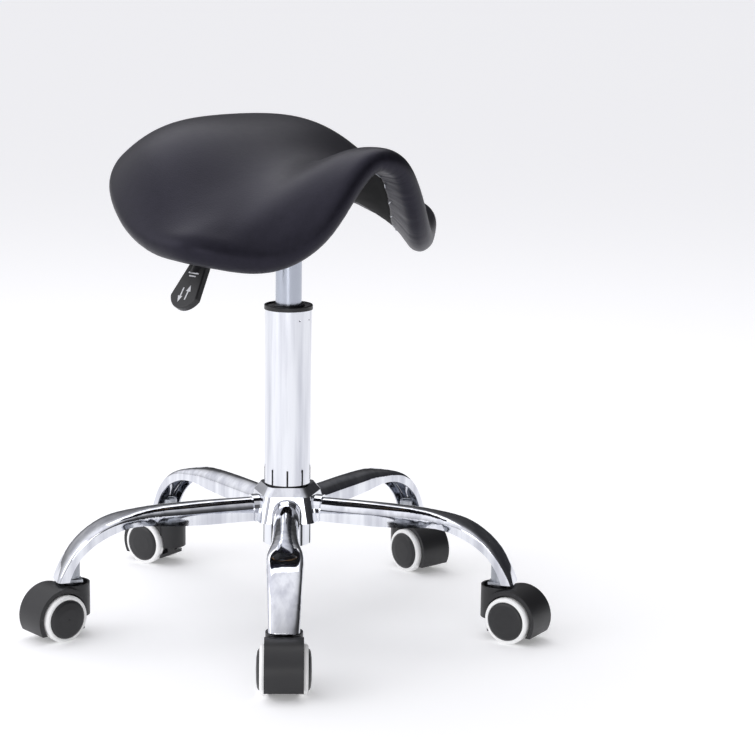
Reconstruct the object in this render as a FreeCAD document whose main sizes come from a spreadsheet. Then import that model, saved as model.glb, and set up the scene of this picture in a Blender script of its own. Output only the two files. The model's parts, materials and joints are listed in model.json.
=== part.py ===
import FreeCAD, Part
import math
import os
import Sketcher
from FreeCAD import Placement, Rotation, Vector

# Rolling stylist stool: saddle seat on a gas lift, five-leg base, twin-wheel casters.
# Millimetres.  Origin on the floor at the column axis, +Z up, the sitter faces -Y.
# A dimension carries its value and its spreadsheet formula, so every bound property
# is an expression on the sheet.

doc = FreeCAD.newDocument("stylist_stool")
sheet = doc.addObject("Spreadsheet::Sheet", "Sizes")


class Dim:
    """A length with the spreadsheet expression that gives it."""

    def __init__(self, value, text):
        self.value = float(value)
        self.text = text

    def _join(self, other, sign, value, flip=False):
        mine, theirs = self.text, str(other)
        if isinstance(other, Dim):
            theirs = other.text
        first, second = (theirs, mine) if flip else (mine, theirs)
        return Dim(value, "(%s %s %s)" % (first, sign, second))

    def __add__(self, other):
        return self._join(other, "+", self.value + float(other))

    def __radd__(self, other):
        return self._join(other, "+", float(other) + self.value, True)

    def __sub__(self, other):
        return self._join(other, "-", self.value - float(other))

    def __rsub__(self, other):
        return self._join(other, "-", float(other) - self.value, True)

    def __mul__(self, other):
        return self._join(other, "*", self.value * float(other))

    __rmul__ = __mul__

    def __truediv__(self, other):
        return self._join(other, "/", self.value / float(other))

    def __neg__(self):
        return Dim(-self.value, "(0 - %s)" % self.text)

    def __float__(self):
        return self.value


SIZES = [
    # saddle pad
    ("seat_front", 130), ("seat_rear", 173), ("seat_half_width", 185), ("seat_height", 526),
    ("pad_rear_half", 18), ("pad_mid_half", 15), ("pad_wing_half", 17), ("pad_nose_half", 12.5),
    ("leather", 1.5), ("layer_gap", 0.3), ("leather_return", 22), ("staple_inset", 5), ("board_thick", 8),
    ("board_inset", 12), ("lining_thick", 0.8), ("boss_level", 458), ("boss_x", 52),
    ("boss_y", 55), ("board_gap", 0.8), ("staple_crown", 10), ("staple_wire", 1), ("staple_leg", 5),
    # seat mechanism
    ("plate_thick", 3), ("plate_x", 50), ("plate_y", 53), ("plate_back", 17), ("bolt_x", 40),
    ("bolt_y", 44),
    ("bolt_shank", 3), ("bolt_head", 6.5), ("nut_barrel", 4.5), ("nut_flange", 10),
    ("nut_length", 12), ("fit_gap", 0.05), ("house_y", 20.5), ("house_front", 22),
    ("house_rear", 54), ("house_drop", 30), ("house_sheet", 2.5), ("socket_wall", 4.5),
    ("socket_low", 410), ("lever_rod", 4), ("lever_pivot_x", 42), ("lever_level", 448),
    ("paddle_length", 66), ("paddle_width", 38), ("paddle_thick", 8), ("paddle_slope", 56),
    ("paddle_reach", 137), ("paddle_level", 383),
    # gas lift
    ("lift_radius", 14), ("lift_wall", 2), ("lift_low", 185), ("lift_high", 440),
    ("taper_length", 28), ("taper_drop", 0.8), ("valve_level", 402), ("pin_radius", 4),
    ("pin_proud", 4), ("rod_radius", 5), ("rod_low", 77), ("piston_level", 262),
    ("piston_thick", 12), ("cover_radius", 25), ("cover_wall", 1.2), ("cover_low", 149),
    ("cover_high", 342), ("slit_width", 2), ("slit_height", 17), ("tube_radius", 22.4),
    ("tube_wall", 2), ("tube_low", 84), ("tube_high", 338), ("tube_floor", 4),
    ("bush_length", 40), ("collar_radius", 26), ("collar_height", 4.5),
    # base
    ("hub_tube_wall", 3.4), ("hub_low", 82), ("hub_high", 147.5), ("hub_shoulder", 138.5),
    ("hub_skirt_low", 111), ("hub_top_flat", 26), ("hub_shoulder_flat", 32),
    ("hub_skirt_flat", 38), ("hub_sheet", 2.5), ("leg_sheet", 2), ("leg_root", 26.4),
    ("caster_circle", 237.4), ("foot_level", 58.2), ("foot_thick", 3), ("socket_top", 78),
    # caster
    ("stem_radius", 5.5), ("stem_low", 30), ("stem_flange", 8), ("run_gap", 0.05),
    ("wheel_radius", 25), ("tyre_inner", 20.8), ("tyre_in", 14.7), ("tyre_out", 24),
    ("cap_bulge", 27.5), ("wheel_in", 7), ("trail", 21.8), ("hood_radius", 31.6),
    ("hood_half", 19.5), ("hood_gap", 1.6), ("hood_low", 9.5), ("cup_radius", 18.7),
    ("cup_top", 56.5), ("cup_deep", 6), ("axle_radius", 3),
]

S = {}
for row, (alias, number) in enumerate(SIZES, start=1):
    sheet.set("A%d" % row, alias)
    sheet.set("B%d" % row, str(number))
    sheet.setAlias("B%d" % row, alias)
    S[alias] = Dim(number, "Sizes." + alias)
doc.recompute()

# Headings of the parts as they stand, degrees about +Z from +X.
FIRST_LEG = -135.5
LEG_STEP = 72.0
CASTER_HEADINGS = (-135.0, -79.5, -96.7, 98.5, 174.1)
RADIAL_GAP = float(S["fit_gap"])

nodes = []


# ---------------------------------------------------------------- helpers
def bind(obj, prop, value):
    """Set a property from a number, or bind it to the sheet."""
    if isinstance(value, Dim):
        obj.setExpression(prop, value.text)
    else:
        setattr(obj, prop, value)


def place(obj, x=0, y=0, z=0, rotation=None):
    """Place an object, binding the coordinates that are dimensions."""
    obj.Placement = Placement(Vector(float(x), float(y), float(z)), rotation or Rotation())
    for axis, value in zip("xyz", (x, y, z)):
        if isinstance(value, Dim):
            obj.setExpression("Placement.Base." + axis, value.text)


def node(obj, name):
    """Register a finished sub-part under its file name."""
    obj.Label = name
    nodes.append(obj)
    return obj


def cylinder(name, radius, height, x=0, y=0, z=0, rotation=None):
    obj = doc.addObject("Part::Cylinder", name)
    bind(obj, "Radius", radius)
    bind(obj, "Height", height)
    place(obj, x, y, z, rotation)
    return obj


def box(name, size_x, size_y, size_z, x, y, z):
    obj = doc.addObject("Part::Box", name)
    bind(obj, "Length", size_x)
    bind(obj, "Width", size_y)
    bind(obj, "Height", size_z)
    place(obj, x, y, z)
    return obj


def cut(name, base, *tools):
    """Subtract one or more tools from a base object."""
    result = doc.addObject("Part::Cut", name)
    result.Base = base
    result.Tool = tools[0] if len(tools) == 1 else fuse(name + "_tools", *tools)
    return result


def fuse(name, *parts):
    result = doc.addObject("Part::MultiFuse", name)
    result.Shapes = list(parts)
    return result


def common(name, *parts):
    result = doc.addObject("Part::MultiCommon", name)
    result.Shapes = list(parts)
    return result


def group(name, *parts):
    """Separate solids kept side by side as one sub-part."""
    result = doc.addObject("Part::Compound", name)
    result.Links = list(parts)
    return result


def solid_feature(name, shape):
    """A shape no feature can state, made from the sheet's sizes in code."""
    obj = doc.addObject("Part::Feature", name)
    obj.Shape = shape
    return obj


def origin_plane(body, role):
    return next(f for f in body.Origin.OriginFeatures if f.Role == role)


def sketch_on(body, name, role):
    sketch = body.newObject("Sketcher::SketchObject", name)
    sketch.AttachmentSupport = [(origin_plane(body, role), "")]
    sketch.MapMode = "FlatFace"
    return sketch


def pin_vertex(sketch, index, x, y):
    """Hold the start of line `index` at x, y with constraints bound to the sheet."""
    for kind, fixed_axis, value in (("DistanceX", -2, x), ("DistanceY", -1, y)):
        if not isinstance(value, Dim) and float(value) == 0.0:
            sketch.addConstraint(Sketcher.Constraint("PointOnObject", index, 1, fixed_axis))
            continue
        at = sketch.addConstraint(
            Sketcher.Constraint(kind, -1, 1, index, 1, float(value)))
        if isinstance(value, Dim):
            sketch.setExpression("Constraints[%d]" % at, value.text)


def outline(sketch, points):
    """Draw a closed, fully held polygon."""
    for i, (x, y) in enumerate(points):
        nx, ny = points[(i + 1) % len(points)]
        sketch.addGeometry(Part.LineSegment(
            Vector(float(x), float(y), 0), Vector(float(nx), float(ny), 0)), False)
    for i in range(len(points)):
        sketch.addConstraint(Sketcher.Constraint("Coincident", i, 2, (i + 1) % len(points), 1))
    for i, (x, y) in enumerate(points):
        pin_vertex(sketch, i, x, y)


def turned(name, points):
    """A body of revolution about Z from (radius, height) points."""
    body = doc.addObject("PartDesign::Body", name)
    sketch = sketch_on(body, name + "_profile", "XZ_Plane")
    outline(sketch, points)
    turn = body.newObject("PartDesign::Revolution", name + "_turn")
    turn.Profile = sketch
    turn.ReferenceAxis = (sketch, ["V_Axis"])
    turn.Angle = 360.0
    doc.recompute()
    body.Tip = turn
    return body


def padded_plate(name, points, thick):
    """A flat plate lying on XY, as a body ready for pockets."""
    body = doc.addObject("PartDesign::Body", name)
    sketch = sketch_on(body, name + "_outline", "XY_Plane")
    outline(sketch, points)
    pad = body.newObject("PartDesign::Pad", name + "_pad")
    pad.Profile = sketch
    bind(pad, "Length", thick)
    doc.recompute()
    body.Tip = pad
    return body


def turn_about_z(degrees):
    return Rotation(Vector(0, 0, 1), degrees)


# ---------------------------------------------------------------- saddle pad form
# The pad is ruled by rings that grow from a point just behind the column to the
# outline.  Heights come from a crown line running front to back and from how far each
# cross-section falls away to the sides.
OUTLINE = ((1.00, 0.0), (0.945, 0.42), (0.82, 0.57), (0.11, 1.0),
           (-0.69, 0.765), (-0.905, 0.41), (-1.0, 0.0))
CROWN_AT = (-190, -110, -30, 40, 90, 135)
CROWN_RISE = (-21, 10, 0, -28, -10.5, -5.5)
FALL_AT = (-190, -90, 10, 80, 135)
FALL_SQUARE = (85, 9, 39, 140, 305)
FALL_FOURTH = (10, 38, 3, -43, -50)
HALF_AT = (-190, -20, 60, 135)
FALL_UNIT = 150.0
PAD_CENTRE = -20.0
RING_POINTS = 40


def spline(xs, ys):
    """Natural cubic through the stations, as a function."""
    n = len(xs)
    step = [xs[i + 1] - xs[i] for i in range(n - 1)]
    low, diag, rhs = [0.0] * n, [1.0] * n, [0.0] * n
    high = [0.0] * n
    for i in range(1, n - 1):
        low[i], high[i] = step[i - 1], step[i]
        diag[i] = 2.0 * (step[i - 1] + step[i])
        rhs[i] = 6.0 * ((ys[i + 1] - ys[i]) / step[i] - (ys[i] - ys[i - 1]) / step[i - 1])
    for i in range(1, n):
        factor = low[i] / diag[i - 1]
        diag[i] -= factor * high[i - 1]
        rhs[i] -= factor * rhs[i - 1]
    bend = [0.0] * n
    for i in range(n - 1, -1, -1):
        bend[i] = (rhs[i] - (high[i] * bend[i + 1] if i + 1 < n else 0.0)) / diag[i]

    def at(x):
        i = min(max(sum(1 for k in xs if k <= x) - 1, 0), n - 2)
        h, a, b = step[i], xs[i + 1] - x, x - xs[i]
        return ((bend[i] * a ** 3 + bend[i + 1] * b ** 3) / (6 * h)
                + (ys[i] / h - bend[i] * h / 6) * a + (ys[i + 1] / h - bend[i + 1] * h / 6) * b)
    return at


def closed_curve(points, count):
    """Evenly spaced points and tangents on a periodic spline through the points."""
    curve = Part.BSplineCurve()
    curve.interpolate([Vector(x, y, 0) for x, y in points], PeriodicFlag=True)
    first, last = curve.FirstParameter, curve.LastParameter
    spaced = curve.discretize(Number=count + 1)[:-1]
    result = []
    for p in spaced:
        at = curve.parameter(p)
        at = min(max(at, first), last)
        result.append((p, curve.tangent(at)[0]))
    return result


class Pad:
    """The saddle pad's form: points at a share of the outline and a depth."""

    def __init__(self):
        front, rear = float(S["seat_front"]), float(S["seat_rear"])
        half = float(S["seat_half_width"])
        long_scale = {True: front / 130.0, False: rear / 173.0}
        wide_scale = half / 185.0
        side = [(u * (front if u > 0 else rear), v * half) for u, v in OUTLINE]
        ring = side + [(u, -v) for u, v in reversed(side[1:-1])]
        self.edge = closed_curve(ring, RING_POINTS)
        level = float(S["seat_height"])
        stretch = [long_scale[s > 0] * s for s in CROWN_AT]
        self.crown = spline(stretch, [level + rise for rise in CROWN_RISE])
        falls = [long_scale[s > 0] * s for s in FALL_AT]
        self.square = spline(falls, FALL_SQUARE)
        self.fourth = spline(falls, FALL_FOURTH)
        self.unit = FALL_UNIT * wide_scale
        self.half_at = [long_scale[s > 0] * s for s in HALF_AT]
        self.halves = [float(S[k]) for k in
                       ("pad_rear_half", "pad_mid_half", "pad_wing_half", "pad_nose_half")]

    def top(self, s, x):
        q = x / self.unit
        return self.crown(s) - self.square(s) * q ** 2 - self.fourth(s) * q ** 4

    def half(self, s):
        """Half the pad's thickness, eased between stations."""
        at, values = self.half_at, self.halves
        s = min(max(s, at[0]), at[-1])
        i = min(sum(1 for k in at if k <= s) - 1, len(at) - 2)
        t = (s - at[i]) / (at[i + 1] - at[i])
        t = t * t * (3 - 2 * t)
        return values[i] + (values[i + 1] - values[i]) * t

    def normal(self, s, x):
        e = 0.5
        ds = (self.top(s + e, x) - self.top(s - e, x)) / (2 * e)
        dx = (self.top(s, x + e) - self.top(s, x - e)) / (2 * e)
        return Vector(-dx, ds, 1.0).normalize()

    def middle(self, s, x):
        """Point halfway through the pad, its normal and its half thickness."""
        n = self.normal(s, x)
        h = self.half(s)
        return Vector(x, -s, self.top(s, x)) - n * h, n, h

    def share(self, k, inset):
        """How far out along ray k a line sits that is `inset` inside the outline."""
        p = self.edge[k][0]
        reach = math.hypot(p.x - PAD_CENTRE, p.y)
        return 1.0 - inset / reach

    def ring(self, q, depth):
        """A ring at share q (a number or one per ray); depth(h) is above the middle."""
        points = []
        for k, (p, _) in enumerate(self.edge):
            share = q[k] if isinstance(q, list) else q
            s = PAD_CENTRE + share * (p.x - PAD_CENTRE)
            x = share * p.y
            m, n, h = self.middle(s, x)
            points.append(m + n * depth(h))
        return points

    def round_ring(self, angle, inset):
        """A ring on the rounded edge, `angle` from the top of the pad."""
        points = []
        for p, tangent in self.edge:
            m, n, h = self.middle(p.x, p.y)
            e = 0.5
            ahead = self.middle(p.x + e * tangent.x, p.y + e * tangent.y)[0]
            behind = self.middle(p.x - e * tangent.x, p.y - e * tangent.y)[0]
            out = (ahead - behind).cross(n).normalize()
            if out.dot(Vector(p.y, PAD_CENTRE - p.x, 0)) < 0:
                out = out * -1
            reach = h - inset
            points.append(m + n * (reach * math.cos(angle)) + out * (reach * math.sin(angle)))
        return points

    def flat_ring(self, q, depth):
        """The small innermost ring, laid on its own plane so it can be closed."""
        m, n, h = self.middle(PAD_CENTRE, 0.0)
        centre = m + n * depth(h)
        return [p - n * (p - centre).dot(n) for p in self.ring(q, depth)]


def ring_wire(points):
    curve = Part.BSplineCurve()
    curve.interpolate(points, PeriodicFlag=True)
    return Part.Wire([curve.toShape()])


def sewn(faces):
    shell = Part.Shell(faces)
    shell.sewShape()
    solid = Part.Solid(shell)
    if solid.Volume < 0:
        solid.reverse()
    return solid


def skin(rows):
    """Smooth faces through rows of ring points."""
    return Part.makeLoft([ring_wire(r) for r in rows], False, False).Faces


def ruled(row_a, row_b):
    return Part.makeLoft([ring_wire(row_a), ring_wire(row_b)], False, True).Faces


def cap(row):
    return Part.Face(ring_wire(row))


pad = Pad()
SHARES = [math.sin(math.pi / 2 * i / 9.0) for i in range(1, 9)]


def wrapped(inset, returns):
    """Bands of rows: over the top, round the edge, then back under to each distance."""
    over, under = (lambda h: h - inset), (lambda h: inset - h)
    bend = [pad.round_ring(math.pi * i / 6.0, inset) for i in range(0, 7)]
    top = [pad.flat_ring(0.09, over)] + [pad.ring(q, over) for q in SHARES] + [bend[0]]
    back = [pad.ring([pad.share(k, reach) for k in range(RING_POINTS)], under)
            for reach in returns]
    bands = [top, bend, [bend[-1], back[0]]]
    return bands + ([back] if len(back) > 1 else [])


def wrap_solid(outer, inner):
    """The solid between two sets of bands that run from the middle to the same edge."""
    faces = [cap(outer[0][0]), cap(inner[0][0])]
    for band in outer + inner:
        faces += skin(band)
    return sewn(faces + ruled(outer[-1][-1], inner[-1][-1]))


def sheet_layer(edge_inset, over, under):
    """A layer following the pad between two depths, ending `edge_inset` inside it."""
    rim = [pad.share(k, edge_inset) for k in range(RING_POINTS)]
    shares = [[q * r for r in rim] for q in SHARES] + [rim]
    faces = []
    for depth in (over, under):
        rows = [pad.flat_ring(0.09, depth)] + [pad.ring(q, depth) for q in shares]
        faces += skin(rows) + [cap(rows[0])]
    faces += ruled(pad.ring(rim, over), pad.ring(rim, under))
    return sewn(faces)


# ---------------------------------------------------------------- seat layers
leather = float(S["leather"])
gap = float(S["layer_gap"])
board_low = leather + float(S["board_gap"])
board_high = board_low + float(S["board_thick"])
opening_edge = float(S["leather_return"])

board_edge = float(S["board_inset"])
under_edge = board_edge - gap
steps_back = [under_edge, 0.5 * (under_edge + opening_edge), opening_edge]
cover_shape = wrap_solid(wrapped(0.0, steps_back), wrapped(leather, steps_back))
node(solid_feature("seat_cover", cover_shape), "seat_cover")

plate_back = float(S["plate_back"])
boss_level = float(S["boss_level"])
bolt_spots = [(i * S["bolt_x"], S["plate_back"] + j * S["bolt_y"])
              for i in (-1, 1) for j in (-1, 1)]
nut_seat = boss_level + float(S["nut_length"])
nut_pocket = float(S["nut_flange"]) + 0.3


def ceiling():
    """Rows of the foam's underside over the board, from the middle to the board's rim."""
    rim = [pad.share(k, under_edge) for k in range(RING_POINTS)]
    depth = (lambda h: board_high + gap - h)
    rows = [pad.flat_ring(0.09, depth)]
    rows += [pad.ring([q * r for r in rim], depth) for q in SHARES]
    return [rows + [pad.ring(rim, depth)]]


foam_shape = wrap_solid(wrapped(leather + gap, [under_edge]), ceiling())
for x, y in bolt_spots:
    foam_shape = foam_shape.cut(Part.makeCylinder(
        nut_pocket, 3.0, Vector(float(x), float(y), nut_seat - 1.0)))
node(solid_feature("seat_foam", foam_shape), "seat_foam")

board_shell = sheet_layer(board_edge, lambda h: board_high - h,
                          lambda h: board_low - h)
boss_x, boss_y = float(S["boss_x"]), float(S["boss_y"])


def boss_rows():
    """Rings of the board's middle and of the flat level below it."""
    depth = 0.5 * (board_low + board_high)
    upper = [pad.flat_ring(0.09, lambda h: depth - h)]
    upper += [pad.ring(q, lambda h: depth - h) for q in (0.17, 0.3, 0.42, 0.54)]
    lower = [[Vector(p.x, p.y, boss_level) for p in row] for row in upper]
    return upper, lower


upper, lower = boss_rows()
under_board = sewn(skin(upper) + [cap(upper[0])] + [cap(lower[-1])] + ruled(upper[-1], lower[-1]))
boss_block = Part.makeBox(2 * boss_x, 2 * boss_y, 120,
                          Vector(-boss_x, plate_back - boss_y, boss_level))
boss = under_board.common(boss_block)
nut_bore = float(S["nut_barrel"]) + RADIAL_GAP
board_shape = board_shell.fuse(boss)
for x, y in bolt_spots:
    spot = Vector(float(x), float(y), 0)
    bore = Part.makeCylinder(nut_bore, 80, spot + Vector(0, 0, boss_level - 1))
    pocket = Part.makeCylinder(nut_pocket, 60, spot + Vector(0, 0, nut_seat))
    board_shape = board_shape.cut(bore).cut(pocket)
node(solid_feature("seat_board", board_shape.removeSplitter()), "seat_board")

lining_shape = sheet_layer(opening_edge + 0.5, lambda h: gap + float(S["lining_thick"]) - h,
                           lambda h: gap - h)
boss_hole = Part.makeBox(2 * boss_x + 2, 2 * boss_y + 2, 120,
                         Vector(-boss_x - 1, plate_back - boss_y - 1, boss_level - 5))
node(solid_feature("underside_lining", lining_shape.cut(boss_hole)), "underside_lining")

STAPLES = 40


def staple(k):
    """One staple astride the leather's return, its legs in the board."""
    inset = opening_edge - float(S["staple_inset"])
    ray = k * RING_POINTS / float(STAPLES)
    i = int(ray) % RING_POINTS
    t = ray - int(ray)
    a, b = pad.edge[i][0], pad.edge[(i + 1) % RING_POINTS][0]
    p = a + (b - a) * t
    reach = math.hypot(p.x - PAD_CENTRE, p.y)
    share = 1.0 - inset / reach
    s, x = PAD_CENTRE + share * (p.x - PAD_CENTRE), share * p.y
    m, n, h = pad.middle(s, x)
    away = Vector(b.y - a.y, -(b.x - a.x), 0)
    along = (away - n * away.dot(n)).normalize()
    side = n.cross(along)
    crown, wire = float(S["staple_crown"]), float(S["staple_wire"])
    leg = float(S["staple_leg"])
    bar = Part.makeBox(crown, wire, wire, Vector(-crown / 2, -wire / 2, -wire))
    legs = [Part.makeBox(wire, wire, leg + wire / 2, Vector(c, -wire / 2, -wire / 2))
            for c in (-crown / 2, crown / 2 - wire)]
    shape = bar.fuse(legs)
    frame = FreeCAD.Matrix(along.x, side.x, n.x, 0, along.y, side.y, n.y, 0,
                           along.z, side.z, n.z, 0, 0, 0, 0, 1)
    shape.Placement = Placement(m - n * (h + 0.05), Rotation(frame))
    return shape


node(solid_feature("cover_staples", Part.makeCompound([staple(k) for k in range(STAPLES)])),
     "cover_staples")

# ---------------------------------------------------------------- seat mechanism
plate_low = S["boss_level"] - S["plate_thick"] - S["fit_gap"]
plate_body = padded_plate("mount_plate_sheet", [
    (-S["plate_x"], S["plate_back"] - S["plate_y"]),
    (S["plate_x"], S["plate_back"] - S["plate_y"]),
    (S["plate_x"], S["plate_back"] + S["plate_y"]),
    (-S["plate_x"], S["plate_back"] + S["plate_y"])], S["plate_thick"])
hole_sketch = sketch_on(plate_body, "mount_plate_holes", "XY_Plane")
for index, (x, y) in enumerate(bolt_spots):
    centre = Vector(float(x), float(y), 0)
    hole_sketch.addGeometry(Part.Circle(centre, Vector(0, 0, 1), 4), False)
    for kind, value in (("DistanceX", x), ("DistanceY", y)):
        at = hole_sketch.addConstraint(
            Sketcher.Constraint(kind, -1, 1, index, 3, float(value)))
        hole_sketch.setExpression("Constraints[%d]" % at, value.text)
    at = hole_sketch.addConstraint(Sketcher.Constraint("Radius", index, 3.4))
    hole_sketch.setExpression("Constraints[%d]" % at, (S["bolt_shank"] + 0.4).text)
plate_holes = plate_body.newObject("PartDesign::Pocket", "mount_plate_pocket")
plate_holes.Profile = hole_sketch
plate_holes.Type = "ThroughAll"
plate_holes.Reversed = True
doc.recompute()
plate_body.Tip = plate_holes
place(plate_body, z=plate_low)

house_low = plate_low - S["house_drop"]
house_long = S["house_front"] + S["house_rear"]
house_block = box("housing_block", house_long, 2 * S["house_y"], S["house_drop"],
                  -S["house_rear"], -S["house_y"], house_low)
house_room = box("housing_room", house_long - 2 * S["house_sheet"],
                 2 * S["house_y"] - 2 * S["house_sheet"], S["house_drop"],
                 S["house_sheet"] - S["house_rear"], S["house_sheet"] - S["house_y"],
                 house_low + S["house_sheet"])
socket_radius = S["lift_radius"] + S["fit_gap"] + S["socket_wall"]
house_bore = cylinder("housing_bore", socket_radius, 20, z=house_low - 5)
house_slot = box("housing_slot", 20, 4 * S["lever_rod"], 3.5 * S["lever_rod"],
                 -S["house_rear"] - 10, -2 * S["lever_rod"],
                 S["lever_level"] - 2 * S["lever_rod"])
pivot_hole = cylinder("pivot_hole", S["pin_radius"] - 1 + S["run_gap"], 2 * S["house_y"] + 4,
                      -S["lever_pivot_x"], S["house_y"] + 2, S["lever_level"],
                      Rotation(Vector(1, 0, 0), 90))
socket_low = S["socket_low"]
socket_tube = turned("taper_socket_tube", [
    (S["lift_radius"] + S["fit_gap"], socket_low),
    (socket_radius, socket_low),
    (socket_radius, S["lift_high"]),
    (S["lift_radius"] + S["fit_gap"] - S["taper_drop"], S["lift_high"]),
    (S["lift_radius"] + S["fit_gap"], S["lift_high"] - S["taper_length"])])
housing = cut("housing", house_block, house_room, house_bore, house_slot, pivot_hole)
node(fuse("mount_plate", plate_body, housing, socket_tube), "mount_plate")


def fastener_set(name, points):
    """Four identical turned fasteners at the bolt spots, one solid each."""
    parts = []
    for index, (x, y) in enumerate(bolt_spots):
        part = turned("%s_%d" % (name, index + 1), points)
        place(part, x, y, 0)
        parts.append(part)
    return node(group(name, *parts), name)


head_top = plate_low - 0.05
shank_top = S["boss_level"] + S["nut_length"] + 1.4
fastener_set("mount_bolts", [
    (0, head_top - 4), (S["bolt_head"] - 1, head_top - 4), (S["bolt_head"], head_top - 3),
    (S["bolt_head"], head_top), (S["bolt_shank"], head_top),
    (S["bolt_shank"], shank_top), (0, shank_top)])
nut_inner = S["bolt_shank"] + S["fit_gap"]
seat_level = S["boss_level"] + S["nut_length"] + 0.05
fastener_set("tee_nuts", [
    (nut_inner, S["boss_level"] + 0.5), (S["nut_barrel"], S["boss_level"] + 0.5),
    (S["nut_barrel"], seat_level), (S["nut_flange"], seat_level),
    (S["nut_flange"], seat_level + 1.2), (nut_inner, seat_level + 1.2)])

# Lever: a bent rod on a cross pin, its flat tongue over the release pin.
pivot = Vector(-float(S["lever_pivot_x"]), 0, float(S["lever_level"]))
slope = math.radians(float(S["paddle_slope"]))
down = Vector(-math.cos(slope), 0, -math.sin(slope))
bend_at = pivot + Vector(-24, 0, 0)
paddle_mid = Vector(-float(S["paddle_reach"]), 0, float(S["paddle_level"]))
rod_points = [pivot + Vector(6, 0, 0), bend_at, bend_at + Vector(-22, 0, -12),
              paddle_mid - down * 42, paddle_mid + down * 6]
rod_r = float(S["lever_rod"])


def rod_segments(points, radius):
    """A bent round bar: cylinders with a ball at each bend."""
    shape = None
    for a, b in zip(points[:-1], points[1:]):
        piece = Part.makeCylinder(radius, (b - a).Length, a, b - a)
        ball = Part.makeSphere(radius, a)
        piece = piece.fuse(ball)
        shape = piece if shape is None else shape.fuse(piece)
    return shape


rod_shape = rod_segments(rod_points, rod_r)
cross_pin = Part.makeCylinder(float(S["pin_radius"]) - 1, 2 * float(S["house_y"]) + 2,
                              pivot + Vector(0, float(S["house_y"]) + 1, 0), Vector(0, -1, 0))
tongue = Part.makeBox(float(S["lever_pivot_x"]) + 5, 12, 3,
                      Vector(pivot.x + 2, -6, float(S["lift_high"]) + float(S["pin_proud"]) + 0.1))
lever_shape = rod_shape.fuse([cross_pin, tongue])
node(solid_feature("lever_rod", lever_shape.removeSplitter()), "lever_rod")

paddle_len, paddle_wide = float(S["paddle_length"]), float(S["paddle_width"])
paddle_thick = float(S["paddle_thick"])


def paddle():
    """A flat blade with a rounded, slightly narrower tip and softened edges."""
    half, tip = paddle_wide / 2, paddle_wide * 0.34
    start, end = -paddle_len / 2, paddle_len / 2
    blade = Part.Face(Part.Wire([
        Part.makeLine(Vector(start, -half * 0.5, 0), Vector(end - tip, -half, 0)),
        Part.Arc(Vector(end - tip, -half, 0), Vector(end, 0, 0), Vector(end - tip, half, 0)).toShape(),
        Part.makeLine(Vector(end - tip, half, 0), Vector(start, half * 0.5, 0)),
        Part.makeLine(Vector(start, half * 0.5, 0), Vector(start, -half * 0.5, 0))]))
    solid = blade.extrude(Vector(0, 0, paddle_thick))
    solid = solid.makeFillet(1.6, solid.Edges)
    neck = Part.makeCylinder(rod_r + 3, 30, Vector(start - 4, 0, paddle_thick / 2), Vector(1, 0, 0))
    bore = Part.makeCylinder(rod_r + RADIAL_GAP, 90,
                             Vector(-paddle_len, 0, paddle_thick / 2), Vector(1, 0, 0))
    stop = Part.makeBox(200, 200, 200, Vector(6 + RADIAL_GAP, -100, -100))
    return solid.fuse(neck).cut(bore.cut(stop))


paddle_shape = paddle()
side = Vector(0, -1, 0)
rise = down.cross(side)
frame = FreeCAD.Matrix(down.x, side.x, rise.x, 0, down.y, side.y, rise.y, 0,
                       down.z, side.z, rise.z, 0, 0, 0, 0, 1)
paddle_shape.Placement = Placement(paddle_mid - rise * (paddle_thick / 2), Rotation(frame))
node(solid_feature("lever_paddle", paddle_shape), "lever_paddle")

# ---------------------------------------------------------------- gas lift
bore_radius = S["lift_radius"] - S["lift_wall"]
taper_low = S["lift_high"] - S["taper_length"]
node(turned("gas_cylinder", [
    (S["rod_radius"] + S["run_gap"], S["lift_low"]), (S["lift_radius"] - 1, S["lift_low"]),
    (S["lift_radius"], S["lift_low"] + 1), (S["lift_radius"], taper_low),
    (S["lift_radius"] - S["taper_drop"], S["lift_high"]),
    (S["pin_radius"] + S["run_gap"], S["lift_high"]),
    (S["pin_radius"] + S["run_gap"], S["valve_level"]),
    (bore_radius, S["valve_level"]), (bore_radius, S["lift_low"] + 12),
    (S["rod_radius"] + S["run_gap"], S["lift_low"] + 12)]), "gas_cylinder")
node(turned("release_pin", [
    (0, S["valve_level"] + 6), (S["pin_radius"], S["valve_level"] + 6),
    (S["pin_radius"], S["lift_high"] + S["pin_proud"]),
    (0, S["lift_high"] + S["pin_proud"])]), "release_pin")
seat_of_rod = S["tube_low"] + S["tube_floor"] + 6.3
piston_top = S["piston_level"] + S["piston_thick"]
node(turned("piston_rod", [
    (0, S["rod_low"]), (S["rod_radius"] - 0.5, S["rod_low"]),
    (S["rod_radius"], S["rod_low"] + 1), (S["rod_radius"], S["rod_low"] + 2.5),
    (S["rod_radius"] - 1.2, S["rod_low"] + 2.5), (S["rod_radius"] - 1.2, S["rod_low"] + 4.5),
    (S["rod_radius"], S["rod_low"] + 4.5),
    (S["rod_radius"], seat_of_rod), (S["rod_radius"] + 4, seat_of_rod),
    (S["rod_radius"] + 4, seat_of_rod + 2), (S["rod_radius"], seat_of_rod + 2),
    (S["rod_radius"], S["piston_level"]), (bore_radius - S["run_gap"], S["piston_level"]),
    (bore_radius - S["run_gap"], piston_top), (0, piston_top)]), "piston_rod")
node(turned("rod_bumper", [
    (S["rod_radius"] + 0.3, seat_of_rod + 2.3), (S["rod_radius"] + 8, seat_of_rod + 2.3),
    (S["rod_radius"] + 7, seat_of_rod + 14), (S["rod_radius"] + 0.3, seat_of_rod + 14)]),
    "rod_bumper")

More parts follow.
